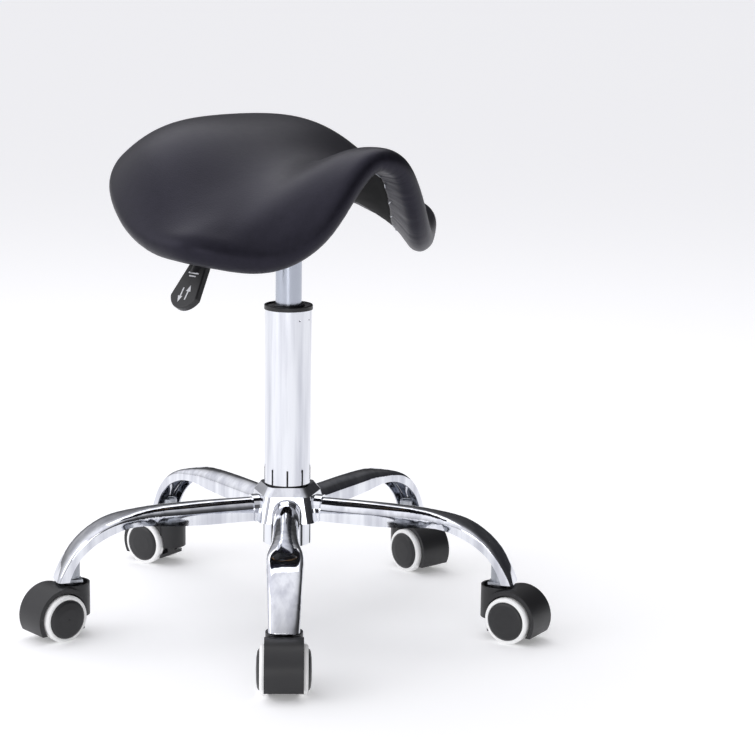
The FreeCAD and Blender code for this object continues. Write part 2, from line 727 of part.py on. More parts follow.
clip_ring = cylinder("clip_disc", 8, 1.2, z=S["rod_low"] + 2.9)
clip_bore = cylinder("clip_bore", S["rod_radius"] - 1.2 + S["fit_gap"], 4, z=S["rod_low"] + 1)
clip_gap = box("clip_gap", 12, 5, 4, 0, -2.5, S["rod_low"] + 1)
node(cut("rod_clip", clip_ring, clip_bore, clip_gap), "rod_clip")

race_low = S["tube_low"] + S["tube_floor"] + 0.05
race_in = S["rod_radius"] + 0.5
lower_race = turned("lower_race", [
    (race_in, race_low), (14, race_low), (14, race_low + 1.6), (race_in, race_low + 1.6)])
upper_race = turned("upper_race", [
    (race_in, race_low + 4.6), (14, race_low + 4.6), (14, race_low + 6.1),
    (race_in, race_low + 6.1)])
balls = []
for k in range(9):
    ball = doc.addObject("Part::Sphere", "race_ball_%d" % (k + 1))
    ball.Radius = 1.45
    angle = math.radians(40.0 * k)
    place(ball, 10 * math.cos(angle), 10 * math.sin(angle), race_low + 3.1)
    balls.append(ball)
node(group("thrust_bearing", lower_race, upper_race, *balls), "thrust_bearing")

tube_in = S["tube_radius"] - S["tube_wall"]
node(turned("outer_tube", [
    (S["rod_radius"] + 0.4, S["tube_low"]), (S["tube_radius"] - 0.6, S["tube_low"]),
    (S["tube_radius"], S["tube_low"] + 40), (S["tube_radius"], S["tube_high"]),
    (tube_in, S["tube_high"]), (tube_in, S["tube_low"] + S["tube_floor"]),
    (S["rod_radius"] + 0.4, S["tube_low"] + S["tube_floor"])]), "outer_tube")

neck_radius = S["lift_radius"] + 3.2
cover_in = S["cover_radius"] - S["cover_wall"]
cover_tube = turned("cover_tube", [
    (cover_in, S["cover_low"]), (S["cover_radius"], S["cover_low"]),
    (S["cover_radius"], S["cover_high"] - 0.8), (S["cover_radius"] - 0.8, S["cover_high"]),
    (neck_radius + 0.3, S["cover_high"]), (neck_radius + 0.3, S["cover_high"] - S["cover_wall"]),
    (cover_in, S["cover_high"] - S["cover_wall"])])
slits = []
for k in range(9):
    slit = box("cover_slit_%d" % (k + 1), 40, S["slit_width"], S["slit_height"], 0, 0, 0)
    angle = -135.0 + 40.0 * k
    turn = turn_about_z(angle)
    corner = turn.multVec(Vector(0, -float(S["slit_width"]) / 2, 0))
    slit.Placement = Placement(corner, turn)
    slit.setExpression("Placement.Base.z", (S["cover_low"] - 0.01).text)
    slits.append(slit)
dimples = []
for angle in (-106.0, -74.0):
    at = turn_about_z(angle).multVec(Vector(float(S["cover_radius"]) + 0.7, 0, 0))
    dimple = doc.addObject("Part::Sphere", "stake_%d" % int(-angle))
    dimple.Radius = 1.4
    place(dimple, at.x, at.y, S["cover_high"] - 13)
    dimples.append(dimple)
node(cut("chrome_cover", cover_tube, *(slits + dimples)), "chrome_cover")

node(turned("guide_bush", [
    (S["lift_radius"] + S["run_gap"], S["tube_high"] - S["bush_length"]),
    (tube_in - S["fit_gap"], S["tube_high"] - S["bush_length"]),
    (tube_in - S["fit_gap"], S["tube_high"] - 0.05), (neck_radius, S["tube_high"] - 0.05),
    (neck_radius, S["cover_high"] + 0.8), (neck_radius - 0.8, S["cover_high"] + 1.6),
    (S["lift_radius"] + S["run_gap"] + 0.6, S["cover_high"] + 1.6),
    (S["lift_radius"] + S["run_gap"], S["cover_high"] + 1)]), "guide_bush")
collar_low = S["cover_high"] - S["collar_height"] + 1
node(turned("top_collar", [
    (S["cover_radius"] + S["fit_gap"], collar_low), (S["collar_radius"], collar_low),
    (S["collar_radius"], S["cover_high"] + 0.6), (S["collar_radius"] - 0.5, S["cover_high"] + 1.2),
    (S["cover_radius"] - 1.0, S["cover_high"] + 1.2), (S["cover_radius"] - 1.0, S["cover_high"] + 0.1),
    (S["cover_radius"] + S["fit_gap"], S["cover_high"] + 0.1)]), "top_collar")

# ---------------------------------------------------------------- base
LEG_ANGLES = [FIRST_LEG + LEG_STEP * k for k in range(5)]


def pentagon(flat, z, soft=6.0):
    """A five-sided outline with softened corners, one flat facing each leg."""
    corner = flat / math.cos(math.pi / 5)
    points = [Vector(corner * math.cos(math.radians(a + 36)),
                     corner * math.sin(math.radians(a + 36)), z) for a in LEG_ANGLES]
    edges = []
    for i, p in enumerate(points):
        before, after = points[i - 1], points[(i + 1) % 5]
        a = p + (before - p).normalize() * soft
        b = p + (after - p).normalize() * soft
        middle = p + ((a + b) * 0.5 - p) * 0.62
        edges.append((a, middle, b))
    shape = []
    for i, (a, middle, b) in enumerate(edges):
        shape.append(Part.Arc(a, middle, b).toShape())
        shape.append(Part.makeLine(b, edges[(i + 1) % 5][0]))
    return Part.Wire(shape)


def hub_form(inset):
    """The pressed cap's outside, taken in by `inset`: a cone top over a flared skirt."""
    top, shoulder, foot = (float(S[k]) - inset for k in
                           ("hub_top_flat", "hub_shoulder_flat", "hub_skirt_flat"))
    high, mid, low = (float(S[k]) for k in ("hub_high", "hub_shoulder", "hub_skirt_low"))
    lift = inset * 0.9
    upper = Part.makeLoft([pentagon(shoulder, mid - lift), pentagon(top, high - lift)], True, True)
    under = Part.makeLoft([pentagon(foot, low - (2 if inset else 0)),
                           pentagon(shoulder, mid - lift)], True, True)
    return upper.fuse(under)


# Stations down a leg: top point, bottom point (radius, height), width, roundness.
LEG_STATIONS = (
    ((26.4, 134.0), (26.4, 111.0), 27.0, 1.0),
    ((60.0, 134.3), (60.0, 110.8), 27.0, 1.0),
    ((100.0, 134.2), (100.0, 110.8), 28.0, 0.95),
    ((140.0, 132.9), (138.0, 112.6), 28.6, 0.85),
    ((165.0, 130.4), (161.0, 115.0), 30.0, 0.7),
    ((184.0, 126.6), (179.5, 114.4), 35.0, 0.5),
    ((197.5, 122.6), (190.5, 111.6), 37.6, 0.42),
    ((210.5, 116.8), (202.0, 106.8), 37.0, 0.42),
    ((225.0, 107.0), (215.5, 99.0), 35.6, 0.45),
    ((238.0, 94.0), (228.0, 88.0), 34.0, 0.5),
    ((247.0, 80.0), (235.5, 77.5), 32.8, 0.5),
    ((252.6, 69.0), (240.0, 68.5), 32.0, 0.5),
    ((256.0, 60.0), (243.0, 60.0), 31.5, 0.5),
)


def leg_section(top, bottom, width, roundness, inset):
    """Half-arch outline across a leg: points from one foot over the crown to the other."""
    crown, foot = Vector(top[0], 0, top[1]), Vector(bottom[0], 0, bottom[1])
    up = (crown - foot)
    deep = up.Length
    up = up * (1.0 / deep)
    half = width / 2.0 - inset
    deep -= inset
    power = 2.0 + (1.0 - roundness) * 4.0
    rise = min(half, deep) * (0.35 + 0.65 * roundness)
    straight = deep - rise
    points = [foot + Vector(0, -half, 0), foot + Vector(0, -half, 0) + up * (straight * 0.5)]
    for i in range(0, 13):
        a = math.pi * i / 12.0
        c, s_ = math.cos(a), math.sin(a)
        y = -half * math.copysign(abs(c) ** (2.0 / power), c)
        z = rise * abs(s_) ** (2.0 / power)
        points.append(foot + Vector(0, y, 0) + up * (straight + z))
    points += [foot + Vector(0, half, 0) + up * (straight * 0.5), foot + Vector(0, half, 0)]
    return points


def fine_stations(steps):
    """The leg's stations with `steps` eased in for each given one."""
    flat = [top + bottom + (width, roundness) for top, bottom, width, roundness in LEG_STATIONS]
    curves = [spline(range(len(flat)), [row[c] for row in flat]) for c in range(6)]
    count = (len(flat) - 1) * steps
    rows = [[curve(i / float(steps)) for curve in curves] for i in range(count + 1)]
    return [((a, b), (c, d), width, min(1.0, roundness))
            for a, b, c, d, width, roundness in rows]


def spline_edge(points):
    curve = Part.BSplineCurve()
    curve.interpolate(points)
    return curve.toShape()


def leg_shape():
    """A pressed channel, open below, through the stations."""
    wires = []
    sheet_thick = float(S["leg_sheet"])
    for top, bottom, width, roundness in fine_stations(2):
        outer = leg_section(top, bottom, width, roundness, 0.0)
        inner = leg_section(top, bottom, width, roundness, sheet_thick)
        wires.append(Part.Wire([spline_edge(outer), Part.makeLine(outer[-1], inner[-1]),
                                spline_edge(list(reversed(inner))),
                                Part.makeLine(inner[0], outer[0])]))
    return Part.makeLoft(wires, True, True)


leg_solid = leg_shape()
for k, angle in enumerate(LEG_ANGLES):
    leg = solid_feature("leg_%d" % (k + 1), leg_solid)
    leg.Placement = Placement(Vector(0, 0, 0), turn_about_z(angle))
    node(leg, "leg_%d" % (k + 1))


def arch(grow, low, start, end):
    """A solid bar with the leg root's outline grown by `grow`, lying along +X."""
    half = LEG_STATIONS[0][2] / 2.0
    points = leg_section((start, LEG_STATIONS[1][0][1]), (start, LEG_STATIONS[1][1][1]),
                         2 * half, 1.0, -grow)
    points[0] = Vector(start, points[0].y, low)
    points[1] = Vector(start, points[1].y, points[1].z)
    points[-1] = Vector(start, points[-1].y, low)
    wire = Part.makePolygon([points[0]] + points[2:-2] + [points[-1], points[0]])
    return Part.Face(wire).extrude(Vector(end - start, 0, 0))


hub_in = S["tube_radius"] + S["fit_gap"] + 0.05
hub_tube_out = 26.0
hub_shell = hub_form(0.0).cut(hub_form(float(S["hub_sheet"])))
tube_bar = Part.makeCylinder(hub_tube_out, float(S["hub_high"]) - float(S["hub_low"]),
                             Vector(0, 0, float(S["hub_low"])))
hub_solid = hub_shell.fuse(tube_bar)
for angle in LEG_ANGLES:
    spin = turn_about_z(angle)
    lip = arch(2.6, float(S["hub_skirt_low"]), 33.0, float(S["hub_skirt_flat"]) + 3.0)
    hole = arch(0.15, float(S["hub_skirt_low"]) - 8, hub_tube_out + 0.2, 60.0)
    for tool in (lip, hole):
        tool.Placement = Placement(Vector(0, 0, 0), spin)
    hub_solid = hub_solid.fuse(lip).cut(hole)
hub_bore = Part.makeCone(float(hub_in) - 0.6, float(hub_in), 40, Vector(0, 0, float(S["tube_low"])))
hub_bore = hub_bore.fuse(Part.makeCylinder(float(hub_in), 60, Vector(0, 0, float(S["tube_low"]) + 40)))
hub_bore = hub_bore.fuse(Part.makeCylinder(float(hub_in) - 0.6, 10,
                                           Vector(0, 0, float(S["tube_low"]) - 10)))
node(solid_feature("hub", hub_solid.cut(hub_bore)), "hub")

sockets = []
for k, angle in enumerate(LEG_ANGLES):
    tab = box("foot_tab_%d" % (k + 1), 24, 22, S["foot_thick"], S["caster_circle"] - 9.5, -11,
              S["foot_level"])
    tube = cylinder("foot_tube_%d" % (k + 1), S["stem_radius"] + 3,
                    S["socket_top"] - S["foot_level"], S["caster_circle"], 0, S["foot_level"])
    bore = cylinder("foot_bore_%d" % (k + 1), S["stem_radius"] + S["fit_gap"], 60,
                    S["caster_circle"], 0, S["foot_level"] - 10)
    socket = cut("caster_socket_%d" % (k + 1), fuse("foot_%d" % (k + 1), tab, tube), bore)
    socket.Placement = Placement(Vector(0, 0, 0), turn_about_z(angle))
    sockets.append(socket)
node(group("caster_sockets", *sockets), "caster_sockets")

stems = []
for k, angle in enumerate(LEG_ANGLES):
    stem = turned("caster_stem_%d" % (k + 1), [
        (0, S["stem_low"]), (S["stem_radius"] - 1, S["stem_low"]),
        (S["stem_radius"], S["stem_low"] + 1), (S["stem_radius"], S["cup_top"] - 1.5),
        (S["stem_flange"], S["cup_top"] - 1.5), (S["stem_flange"], S["foot_level"] - 0.5),
        (S["stem_radius"], S["foot_level"] - 0.5), (S["stem_radius"], S["socket_top"] - 2.5),
        (S["stem_radius"] - 1, S["socket_top"] - 1), (0, S["socket_top"] - 1)])
    at = turn_about_z(angle).multVec(Vector(float(S["caster_circle"]), 0, 0))
    stem.Placement = Placement(at, Rotation())
    stems.append(stem)
node(group("caster_stems", *stems), "caster_stems")

# ---------------------------------------------------------------- casters
ACROSS = Rotation(Vector(1, 0, 0), -90)
wheel_axis_z = S["wheel_radius"]


def hood(tag):
    """The caster body: round cup over the stem, hood over the wheels, web between."""
    pocket_radius = S["wheel_radius"] + S["hood_gap"]
    drum = cylinder(tag + "_drum", S["hood_radius"], 2 * S["hood_half"], S["trail"],
                    -S["hood_half"], wheel_axis_z, ACROSS)
    trim = box(tag + "_trim", 120, 60, 60, S["trail"] - 24, -30, S["hood_low"])
    shell = common(tag + "_shell", drum, trim)
    cup = cylinder(tag + "_cup", S["cup_radius"], S["cup_top"] - 22, 0, 0, 22)
    body = fuse(tag + "_body", shell, cup)
    tools = []
    for side, low in (("left", S["wheel_in"] - 0.7), ("right", -S["wheel_in"] + 0.7 - 30)):
        tools.append(cylinder(tag + "_pocket_" + side, pocket_radius, 30, S["trail"], low,
                              wheel_axis_z, ACROSS))
    tools.append(cut(tag + "_cup_room",
                     cylinder(tag + "_cup_hole", S["cup_radius"] - 2.2, 20, 0, 0,
                              S["cup_top"] - S["cup_deep"]),
                     cylinder(tag + "_cup_post", S["stem_radius"] + 3, S["cup_deep"] - 2, 0, 0,
                              S["cup_top"] - S["cup_deep"])))
    tools.append(cylinder(tag + "_stem_bore", S["stem_radius"] + S["run_gap"], 60, 0, 0,
                          S["stem_low"] - 0.5))
    tools.append(cylinder(tag + "_axle_bore", S["axle_radius"] + S["fit_gap"], 60, S["trail"],
                          -30, wheel_axis_z, ACROSS))
    return cut(tag + "_hood", body, *tools)


def wheel_profile():
    """Wheel half: hub, web, rim shoulder for the tyre and the domed cap."""
    bore = S["axle_radius"] + S["run_gap"]
    seat = S["tyre_inner"] - S["fit_gap"]
    return [(bore, S["wheel_in"]), (8, S["wheel_in"]), (8, S["tyre_in"] - 4),
            (S["wheel_radius"] - 3, S["tyre_in"] - 4), (S["wheel_radius"] - 0.8, S["tyre_in"] - 3),
            (S["wheel_radius"] - 0.8, S["tyre_in"] - 0.1), (seat, S["tyre_in"] - 0.1),
            (seat, S["tyre_out"]), (seat - 0.9, S["tyre_out"] + 1.1),
            (seat * 0.86, S["cap_bulge"] - 1.2), (seat * 0.55, S["cap_bulge"] - 0.3),
            (0, S["cap_bulge"]), (0, S["tyre_out"] - 0.4), (bore, S["tyre_out"] - 0.4)]


def tyre_profile():
    """Soft tread ring with rounded shoulders."""
    radius, inner = S["wheel_radius"], S["tyre_inner"]
    return [(inner, S["tyre_in"]), (radius - 0.8, S["tyre_in"]), (radius, S["tyre_in"] + 0.8),
            (radius, S["tyre_out"] - 2.6), (radius - 0.6, S["tyre_out"] - 1.1),
            (radius - 1.8, S["tyre_out"] - 0.2), (inner + 0.8, S["tyre_out"]),
            (inner, S["tyre_out"] - 0.3)]


def put(obj, local, home):
    obj.Placement = home.multiply(local)


for k, (angle, heading) in enumerate(zip(LEG_ANGLES, CASTER_HEADINGS)):
    tag = "caster_%d" % (k + 1)
    at = turn_about_z(angle).multVec(Vector(float(S["caster_circle"]), 0, 0))
    home = Placement(at, turn_about_z(heading))
    body = hood(tag)
    body.Placement = home
    node(body, tag + "_hood")
    axle_z = float(wheel_axis_z)
    axle = turned(tag + "_axle", [
        (0, 0), (S["axle_radius"] - 0.4, 0), (S["axle_radius"], 0.4),
        (S["axle_radius"], 2 * S["tyre_out"] - 2.4), (S["axle_radius"] - 0.4, 2 * S["tyre_out"] - 2),
        (0, 2 * S["tyre_out"] - 2)])
    half_axle = float(S["tyre_out"]) - 1
    put(axle, Placement(Vector(float(S["trail"]), -half_axle, axle_z), ACROSS), home)
    node(axle, tag + "_axle")
    for side, turn in (("left", Rotation(Vector(1, 0, 0), -90)),
                       ("right", Rotation(Vector(1, 0, 0), 90))):
        local = Placement(Vector(float(S["trail"]), 0, axle_z), turn)
        wheel = turned("%s_wheel_%s" % (tag, side), wheel_profile())
        tyre = turned("%s_tyre_%s" % (tag, side), tyre_profile())
        for obj, label in ((wheel, "wheel"), (tyre, "tyre")):
            put(obj, local, home)
            node(obj, "%s_%s_%s" % (tag, label, side))

# ---------------------------------------------------------------- check and write
doc.recompute()
bad = []
for obj in doc.Objects:
    if any(flag in ("Invalid", "Error") for flag in obj.State):
        bad.append("%s state %s" % (obj.Name, obj.State))
for obj in nodes:
    shape = obj.Shape
    if shape.isNull() or not shape.isValid() or not shape.Solids:
        bad.append("%s has no valid solid" % obj.Label)
if bad:
    raise RuntimeError("; ".join(bad))
os.makedirs("parts", exist_ok=True)
for obj in nodes:
    obj.Shape.exportStep("parts/%s.step" % obj.Label)
    print("%-24s solids %2d  volume %10.1f" % (obj.Label, len(obj.Shape.Solids), obj.Shape.Volume))
print("nodes", len(nodes))
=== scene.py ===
import json
import logging
import math
from dataclasses import dataclass, field
from enum import Enum
from typing import Callable, Dict, List, Optional, Sequence, Tuple

import bmesh
import bpy
from bmesh.types import BMEdge, BMesh, BMVert
from bpy.types import Material, Mesh, Node, NodeSocket, NodeTree, Object
from mathutils import Matrix, Vector, noise
from mathutils.bvhtree import BVHTree


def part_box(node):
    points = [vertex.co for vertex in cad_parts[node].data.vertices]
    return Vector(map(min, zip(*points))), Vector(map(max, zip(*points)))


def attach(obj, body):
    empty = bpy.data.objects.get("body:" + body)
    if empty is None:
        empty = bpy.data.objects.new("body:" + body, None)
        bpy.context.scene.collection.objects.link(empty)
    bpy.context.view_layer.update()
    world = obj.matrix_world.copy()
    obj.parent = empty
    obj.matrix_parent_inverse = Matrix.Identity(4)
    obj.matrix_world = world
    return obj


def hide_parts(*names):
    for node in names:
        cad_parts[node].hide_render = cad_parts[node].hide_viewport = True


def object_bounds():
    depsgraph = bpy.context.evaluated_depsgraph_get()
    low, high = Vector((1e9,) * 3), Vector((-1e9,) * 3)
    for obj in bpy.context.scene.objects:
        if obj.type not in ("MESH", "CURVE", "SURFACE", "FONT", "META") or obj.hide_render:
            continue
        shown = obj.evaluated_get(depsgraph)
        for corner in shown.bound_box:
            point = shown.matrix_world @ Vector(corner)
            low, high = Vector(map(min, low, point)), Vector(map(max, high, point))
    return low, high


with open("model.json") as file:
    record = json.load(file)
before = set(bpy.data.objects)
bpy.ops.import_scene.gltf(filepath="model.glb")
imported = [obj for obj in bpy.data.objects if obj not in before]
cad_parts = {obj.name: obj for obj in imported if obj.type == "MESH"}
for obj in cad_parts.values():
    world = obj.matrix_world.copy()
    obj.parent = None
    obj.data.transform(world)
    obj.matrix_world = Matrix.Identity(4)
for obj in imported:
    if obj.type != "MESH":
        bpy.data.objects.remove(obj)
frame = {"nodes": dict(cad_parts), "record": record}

CAD_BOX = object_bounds()
LOG = logging.getLogger("stool")
MM = 0.001
FULL_TURN = 6.283  # radians, rounded: sets how many waves go round the pad
DOWN = Vector((0.0, 0.0, -1.0))
UP = Vector((0.0, 0.0, 1.0))


# --- small helpers
def linear(sheet_colour: str) -> Tuple[float, float, float, float]:
    """Turns an sRGB hex colour to linear light.

    Args:
        sheet_colour: the colour as "#rrggbb".

    Returns:
        Linear red, green, blue and an alpha of one.
    """
    parts = [int(sheet_colour[i:i + 2], 16) / 255.0 for i in (1, 3, 5)]
    light = [p / 12.92 if p <= 0.04045 else ((p + 0.055) / 1.055) ** 2.4 for p in parts]
    return (light[0], light[1], light[2], 1.0)


def add_node(tree: NodeTree, kind: str, feeds: Optional[Dict] = None, **settings) -> Node:
    """Adds one shader node with its settings and what feeds it.

    Args:
        tree: the node tree.
        kind: the node's type name.
        feeds: socket name or number to an output socket or a constant.
        settings: attributes of the node itself.

    Returns:
        The new node.
    """
    made = tree.nodes.new(kind)
    for name, value in settings.items():
        setattr(made, name, value)
    for socket, value in (feeds or {}).items():
        if isinstance(value, NodeSocket):
            tree.links.new(value, made.inputs[socket])
        else:
            made.inputs[socket].default_value = value
    return made


def ease(value: float, low: float, high: float) -> float:
    """Eases from 0 to 1 between two values.

    Args:
        value: where to read the curve.
        low: where it leaves 0.
        high: where it reaches 1.

    Returns:
        The eased share.
    """
    t = min(max((value - low) / (high - low), 0.0), 1.0)
    return t * t * (3.0 - 2.0 * t)


def piece_from(bm: BMesh, name: str, smooth: bool = True) -> Object:
    """Makes an object at the origin from a finished bmesh and frees the bmesh.

    Args:
        bm: the mesh, in metres in the row frame.
        name: the piece's name.
        smooth: whether its faces are shaded smooth.

    Returns:
        The linked object.
    """
    mesh = bpy.data.meshes.new(name)
    for face in bm.faces:
        face.smooth = smooth
    bm.to_mesh(mesh)
    bm.free()
    made = bpy.data.objects.new(name, mesh)
    bpy.context.scene.collection.objects.link(made)
    return made


def settle_modifiers(piece: Object) -> None:
    """Applies every modifier on a piece.

    Args:
        piece: the object whose mesh is replaced by its finished one.
    """
    graph = bpy.context.evaluated_depsgraph_get()
    graph.update()
    settled = bpy.data.meshes.new_from_object(piece.evaluated_get(graph), depsgraph=graph)
    old = piece.data
    piece.modifiers.clear()
    piece.data = settled
    settled.name = piece.name
    bpy.data.meshes.remove(old)


def thicken(piece: Object, thickness: float, offset: float) -> None:
    """Gives a sheet its thickness.

    Args:
        piece: the sheet, which is changed.
        thickness: the wall, in metres.
        offset: -1 to grow inwards, 0 to both sides.
    """
    wall = piece.modifiers.new("wall", "SOLIDIFY")
    wall.thickness, wall.offset = thickness, offset
    settle_modifiers(piece)


def grow_row(bm: BMesh, rim: List[BMEdge]) -> Tuple[List[BMEdge], List[BMVert]]:
    """Extrudes a closed rim by one row, in place.

    Args:
        bm: the mesh.
        rim: the edges to extrude.

    Returns:
        The new rim and its vertices.
    """
    grown = bmesh.ops.extrude_edge_only(bm, edges=rim)["geom"]
    edges = [g for g in grown if isinstance(g, BMEdge) and all(v in grown for v in g.verts)]
    return edges, [g for g in grown if isinstance(g, BMVert)]


def ray_tree(nodes: Sequence[str]) -> BVHTree:
    """Makes a search tree over copies of some CAD nodes' meshes.

    Args:
        nodes: the nodes' names.

    Returns:
        The tree, for casting rays at them.
    """
    bm = bmesh.new()
    for name in nodes:
        bm.from_mesh(frame["nodes"][name].data)
    tree = BVHTree.FromBMesh(bm)
    bm.free()
    return tree


# --- finishes
@dataclass(frozen=True)
class Finish:
    """A finish: one procedural material, named for what the real one is."""

    name: str
    colour: str
    roughness: float

    def shade(self, tree: NodeTree, shader: Node) -> None:
        """Adds the pattern nodes; each finish has its own.

        Args:
            tree: the material's nodes.
            shader: its Principled shader.
        """

    def tint(self, tree: NodeTree, shader: Node, pattern: NodeSocket, low_tone: str,
             ends: Tuple[float, float] = (0.0, 1.0)) -> None:
        """Runs the base colour from a low tone up to the finish's own colour.

        Args:
            tree: the material's nodes.
            shader: its Principled shader.
            pattern: the pattern that the colour follows.
            low_tone: the colour where the pattern is low.
            ends: the pattern's values at which each colour is reached.
        """
        tone = add_node(tree, "ShaderNodeValToRGB", {"Fac": pattern})
        for stop, place, colour in zip(tone.color_ramp.elements, ends, (low_tone, self.colour)):
            stop.position, stop.color = place, linear(colour)
        tree.links.new(tone.outputs["Color"], shader.inputs["Base Color"])

    def material(self) -> Material:
        """Gives the finish's material, made the first time it is asked for.

        Returns:
            The material.
        """
        made = bpy.data.materials.get(self.name)
        if made is None:
            made = bpy.data.materials.new(self.name)
            made.use_nodes = True
            made.diffuse_color = linear(self.colour)
            shader = made.node_tree.nodes["Principled BSDF"]
            shader.inputs["Base Color"].default_value = linear(self.colour)
            shader.inputs["Roughness"].default_value = self.roughness
            self.shade(made.node_tree, shader)
        return made


@dataclass(frozen=True)
class CoatedLeather(Finish):
    """Polyurethane-coated leather cloth, embossed: soft highlights broken by pebble grain."""

    pebble: float = 1.4 * MM
    crease: float = 9.0 * MM
    emboss: float = 0.25 * MM
    drift: float = 0.6 * MM
    # The dark end of the painted shade in the dips of the stretch marks.
    valley_shade: str = "#0e0e13"
    sheen_tint: str = "#d8d4f2"

    def shade(self, tree: NodeTree, shader: Node) -> None:
        """Pebble grain, faint stretch marks, and painted shade darkening the stretch marks' dips.

        Args:
            tree: the material's nodes.
            shader: its Principled shader.
        """
        at = add_node(tree, "ShaderNodeTexCoord").outputs["Object"]
        grain = add_node(tree, "ShaderNodeTexVoronoi", {"Vector": at, "Scale": 1.0 / self.pebble},
                         feature="SMOOTH_F1").outputs["Distance"]
        soft = add_node(tree, "ShaderNodeTexNoise", {"Vector": at, "Scale": 1.0 / self.crease,
                                                     "Detail": 5.0, "Roughness": 0.62}
                        ).outputs["Fac"]
        # Painted shade: the colour darkens where the stretch-mark relief dips.
        self.tint(tree, shader, soft, self.valley_shade, (0.35, 0.7))
        gloss = add_node(tree, "ShaderNodeMapRange", {
            "Value": soft, "To Min": self.roughness - 0.05, "To Max": self.roughness + 0.07})
        tree.links.new(gloss.outputs["Result"], shader.inputs["Roughness"])
        emboss = add_node(tree, "ShaderNodeBump", {
            "Strength": 0.36, "Distance": self.emboss, "Height": grain})
        drift = add_node(tree, "ShaderNodeBump", {
            "Strength": 0.12, "Distance": self.drift, "Height": soft, "Normal": emboss.outputs[0]})
        tree.links.new(drift.outputs["Normal"], shader.inputs["Normal"])
        shader.inputs["IOR"].default_value = 1.42
        shader.inputs["Specular Tint"].default_value = linear(self.sheen_tint)
        shader.inputs["Sheen Weight"].default_value = 0.02
        shader.inputs["Sheen Roughness"].default_value = 0.4


@dataclass(frozen=True)
class Plated(Finish):
    """Decorative plate on steel: a near mirror, its reflections bent a little by the polishing."""

    # The dark end of the streaks of painted shade.
    shadow: str = "#c9cbd3"
    ripple: float = 14.0 * MM
    wobble: float = 0.04
    depth: float = 1.0 * MM
    haze: float = 0.03

    def shade(self, tree: NodeTree, shader: Node) -> None:
        """Polishing ripple, patches of haze, and long faint streaks of painted shade in the plate's
        colour.

        Args:
            tree: the material's nodes.
            shader: its Principled shader.
        """
        at = add_node(tree, "ShaderNodeTexCoord").outputs["Object"]
        swell = add_node(tree, "ShaderNodeTexNoise", {
            "Vector": at, "Scale": 1.0 / self.ripple, "Detail": 2.0}).outputs["Fac"]
        wipe = add_node(tree, "ShaderNodeTexNoise", {"Vector": at, "Scale": 1.0 / (6 * self.ripple),
                                                     "Detail": 6.0, "Roughness": 0.7}
                        ).outputs["Fac"]
        gloss = add_node(tree, "ShaderNodeMapRange", {
            "Value": wipe, "To Min": self.roughness, "To Max": self.roughness + self.haze})
        tree.links.new(gloss.outputs["Result"], shader.inputs["Roughness"])
        drawn = add_node(tree, "ShaderNodeMapping", {"Vector": at, "Scale": (1.0, 1.0, 0.06)}
                         ).outputs["Vector"]
        streak = add_node(tree, "ShaderNodeTexNoise", {
            "Vector": drawn, "Scale": 1.0 / self.ripple, "Detail": 3.0}).outputs["Fac"]
        # Painted shade: the plate's colour darkens in long streaks.
        self.tint(tree, shader, streak, self.shadow, (0.36, 0.6))
        bump = add_node(tree, "ShaderNodeBump", {
            "Strength": self.wobble, "Distance": self.depth, "Height": swell})
        tree.links.new(bump.outputs["Normal"], shader.inputs["Normal"])
        shader.inputs["Metallic"].default_value = 1.0


@dataclass(frozen=True)
class GroundSteel(Finish):
    """Centreless-ground steel tube, bright plated: fine rings stretch the highlight."""

    ring: float = 0.9 * MM
    depth: float = 0.2 * MM

    def shade(self, tree: NodeTree, shader: Node) -> None:
        """Grinding rings, drawn at about 1 mm so that they show.

        Args:
            tree: the material's nodes.
            shader: its Principled shader.
        """
        at = add_node(tree, "ShaderNodeTexCoord").outputs["Object"]
        drawn = add_node(tree, "ShaderNodeMapping", {"Vector": at, "Scale": (0.05, 0.05, 1.0)}
                         ).outputs["Vector"]
        rings = add_node(tree, "ShaderNodeTexNoise", {
            "Vector": drawn, "Scale": 1.0 / self.ring, "Detail": 3.0}).outputs["Fac"]
        gloss = add_node(tree, "ShaderNodeMapRange", {
            "Value": rings, "To Min": self.roughness - 0.06, "To Max": self.roughness + 0.08})
        tree.links.new(gloss.outputs["Result"], shader.inputs["Roughness"])
        bump = add_node(tree, "ShaderNodeBump", {
            "Strength": 0.06, "Distance": self.depth, "Height": rings})
        tree.links.new(bump.outputs["Normal"], shader.inputs["Normal"])
        shader.inputs["Metallic"].default_value = 1.0


@dataclass(frozen=True)
class Moulded(Finish):
    """Moulded plastic or rubber from a spark-eroded tool: an even satin with a fine grain."""

    grit: float = 0.8 * MM
    depth: float = 0.12 * MM
    flow: float = 1.0 / 45.0  # metres: patches of about 22 mm
    uneven: float = 0.07
    tooth: float = 0.16

    def shade(self, tree: NodeTree, shader: Node) -> None:
        """Tool grain, drawn at 0.8 mm so that it shows, and flow patches in the gloss.

        Args:
            tree: the material's nodes.
            shader: its Principled shader.
        """
        at = add_node(tree, "ShaderNodeTexCoord").outputs["Object"]
        grain = add_node(tree, "ShaderNodeTexNoise", {
            "Vector": at, "Scale": 1.0 / self.grit, "Detail": 2.0}).outputs["Fac"]
        flow = add_node(tree, "ShaderNodeTexNoise", {
            "Vector": at, "Scale": 1.0 / self.flow, "Detail": 4.0}).outputs["Fac"]
        gloss = add_node(tree, "ShaderNodeMapRange", {
            "Value": flow, "To Min": self.roughness - self.uneven,
            "To Max": self.roughness + self.uneven})
        tree.links.new(gloss.outputs["Result"], shader.inputs["Roughness"])
        bump = add_node(tree, "ShaderNodeBump", {
            "Strength": self.tooth, "Distance": self.depth, "Height": grain})
        tree.links.new(bump.outputs["Normal"], shader.inputs["Normal"])


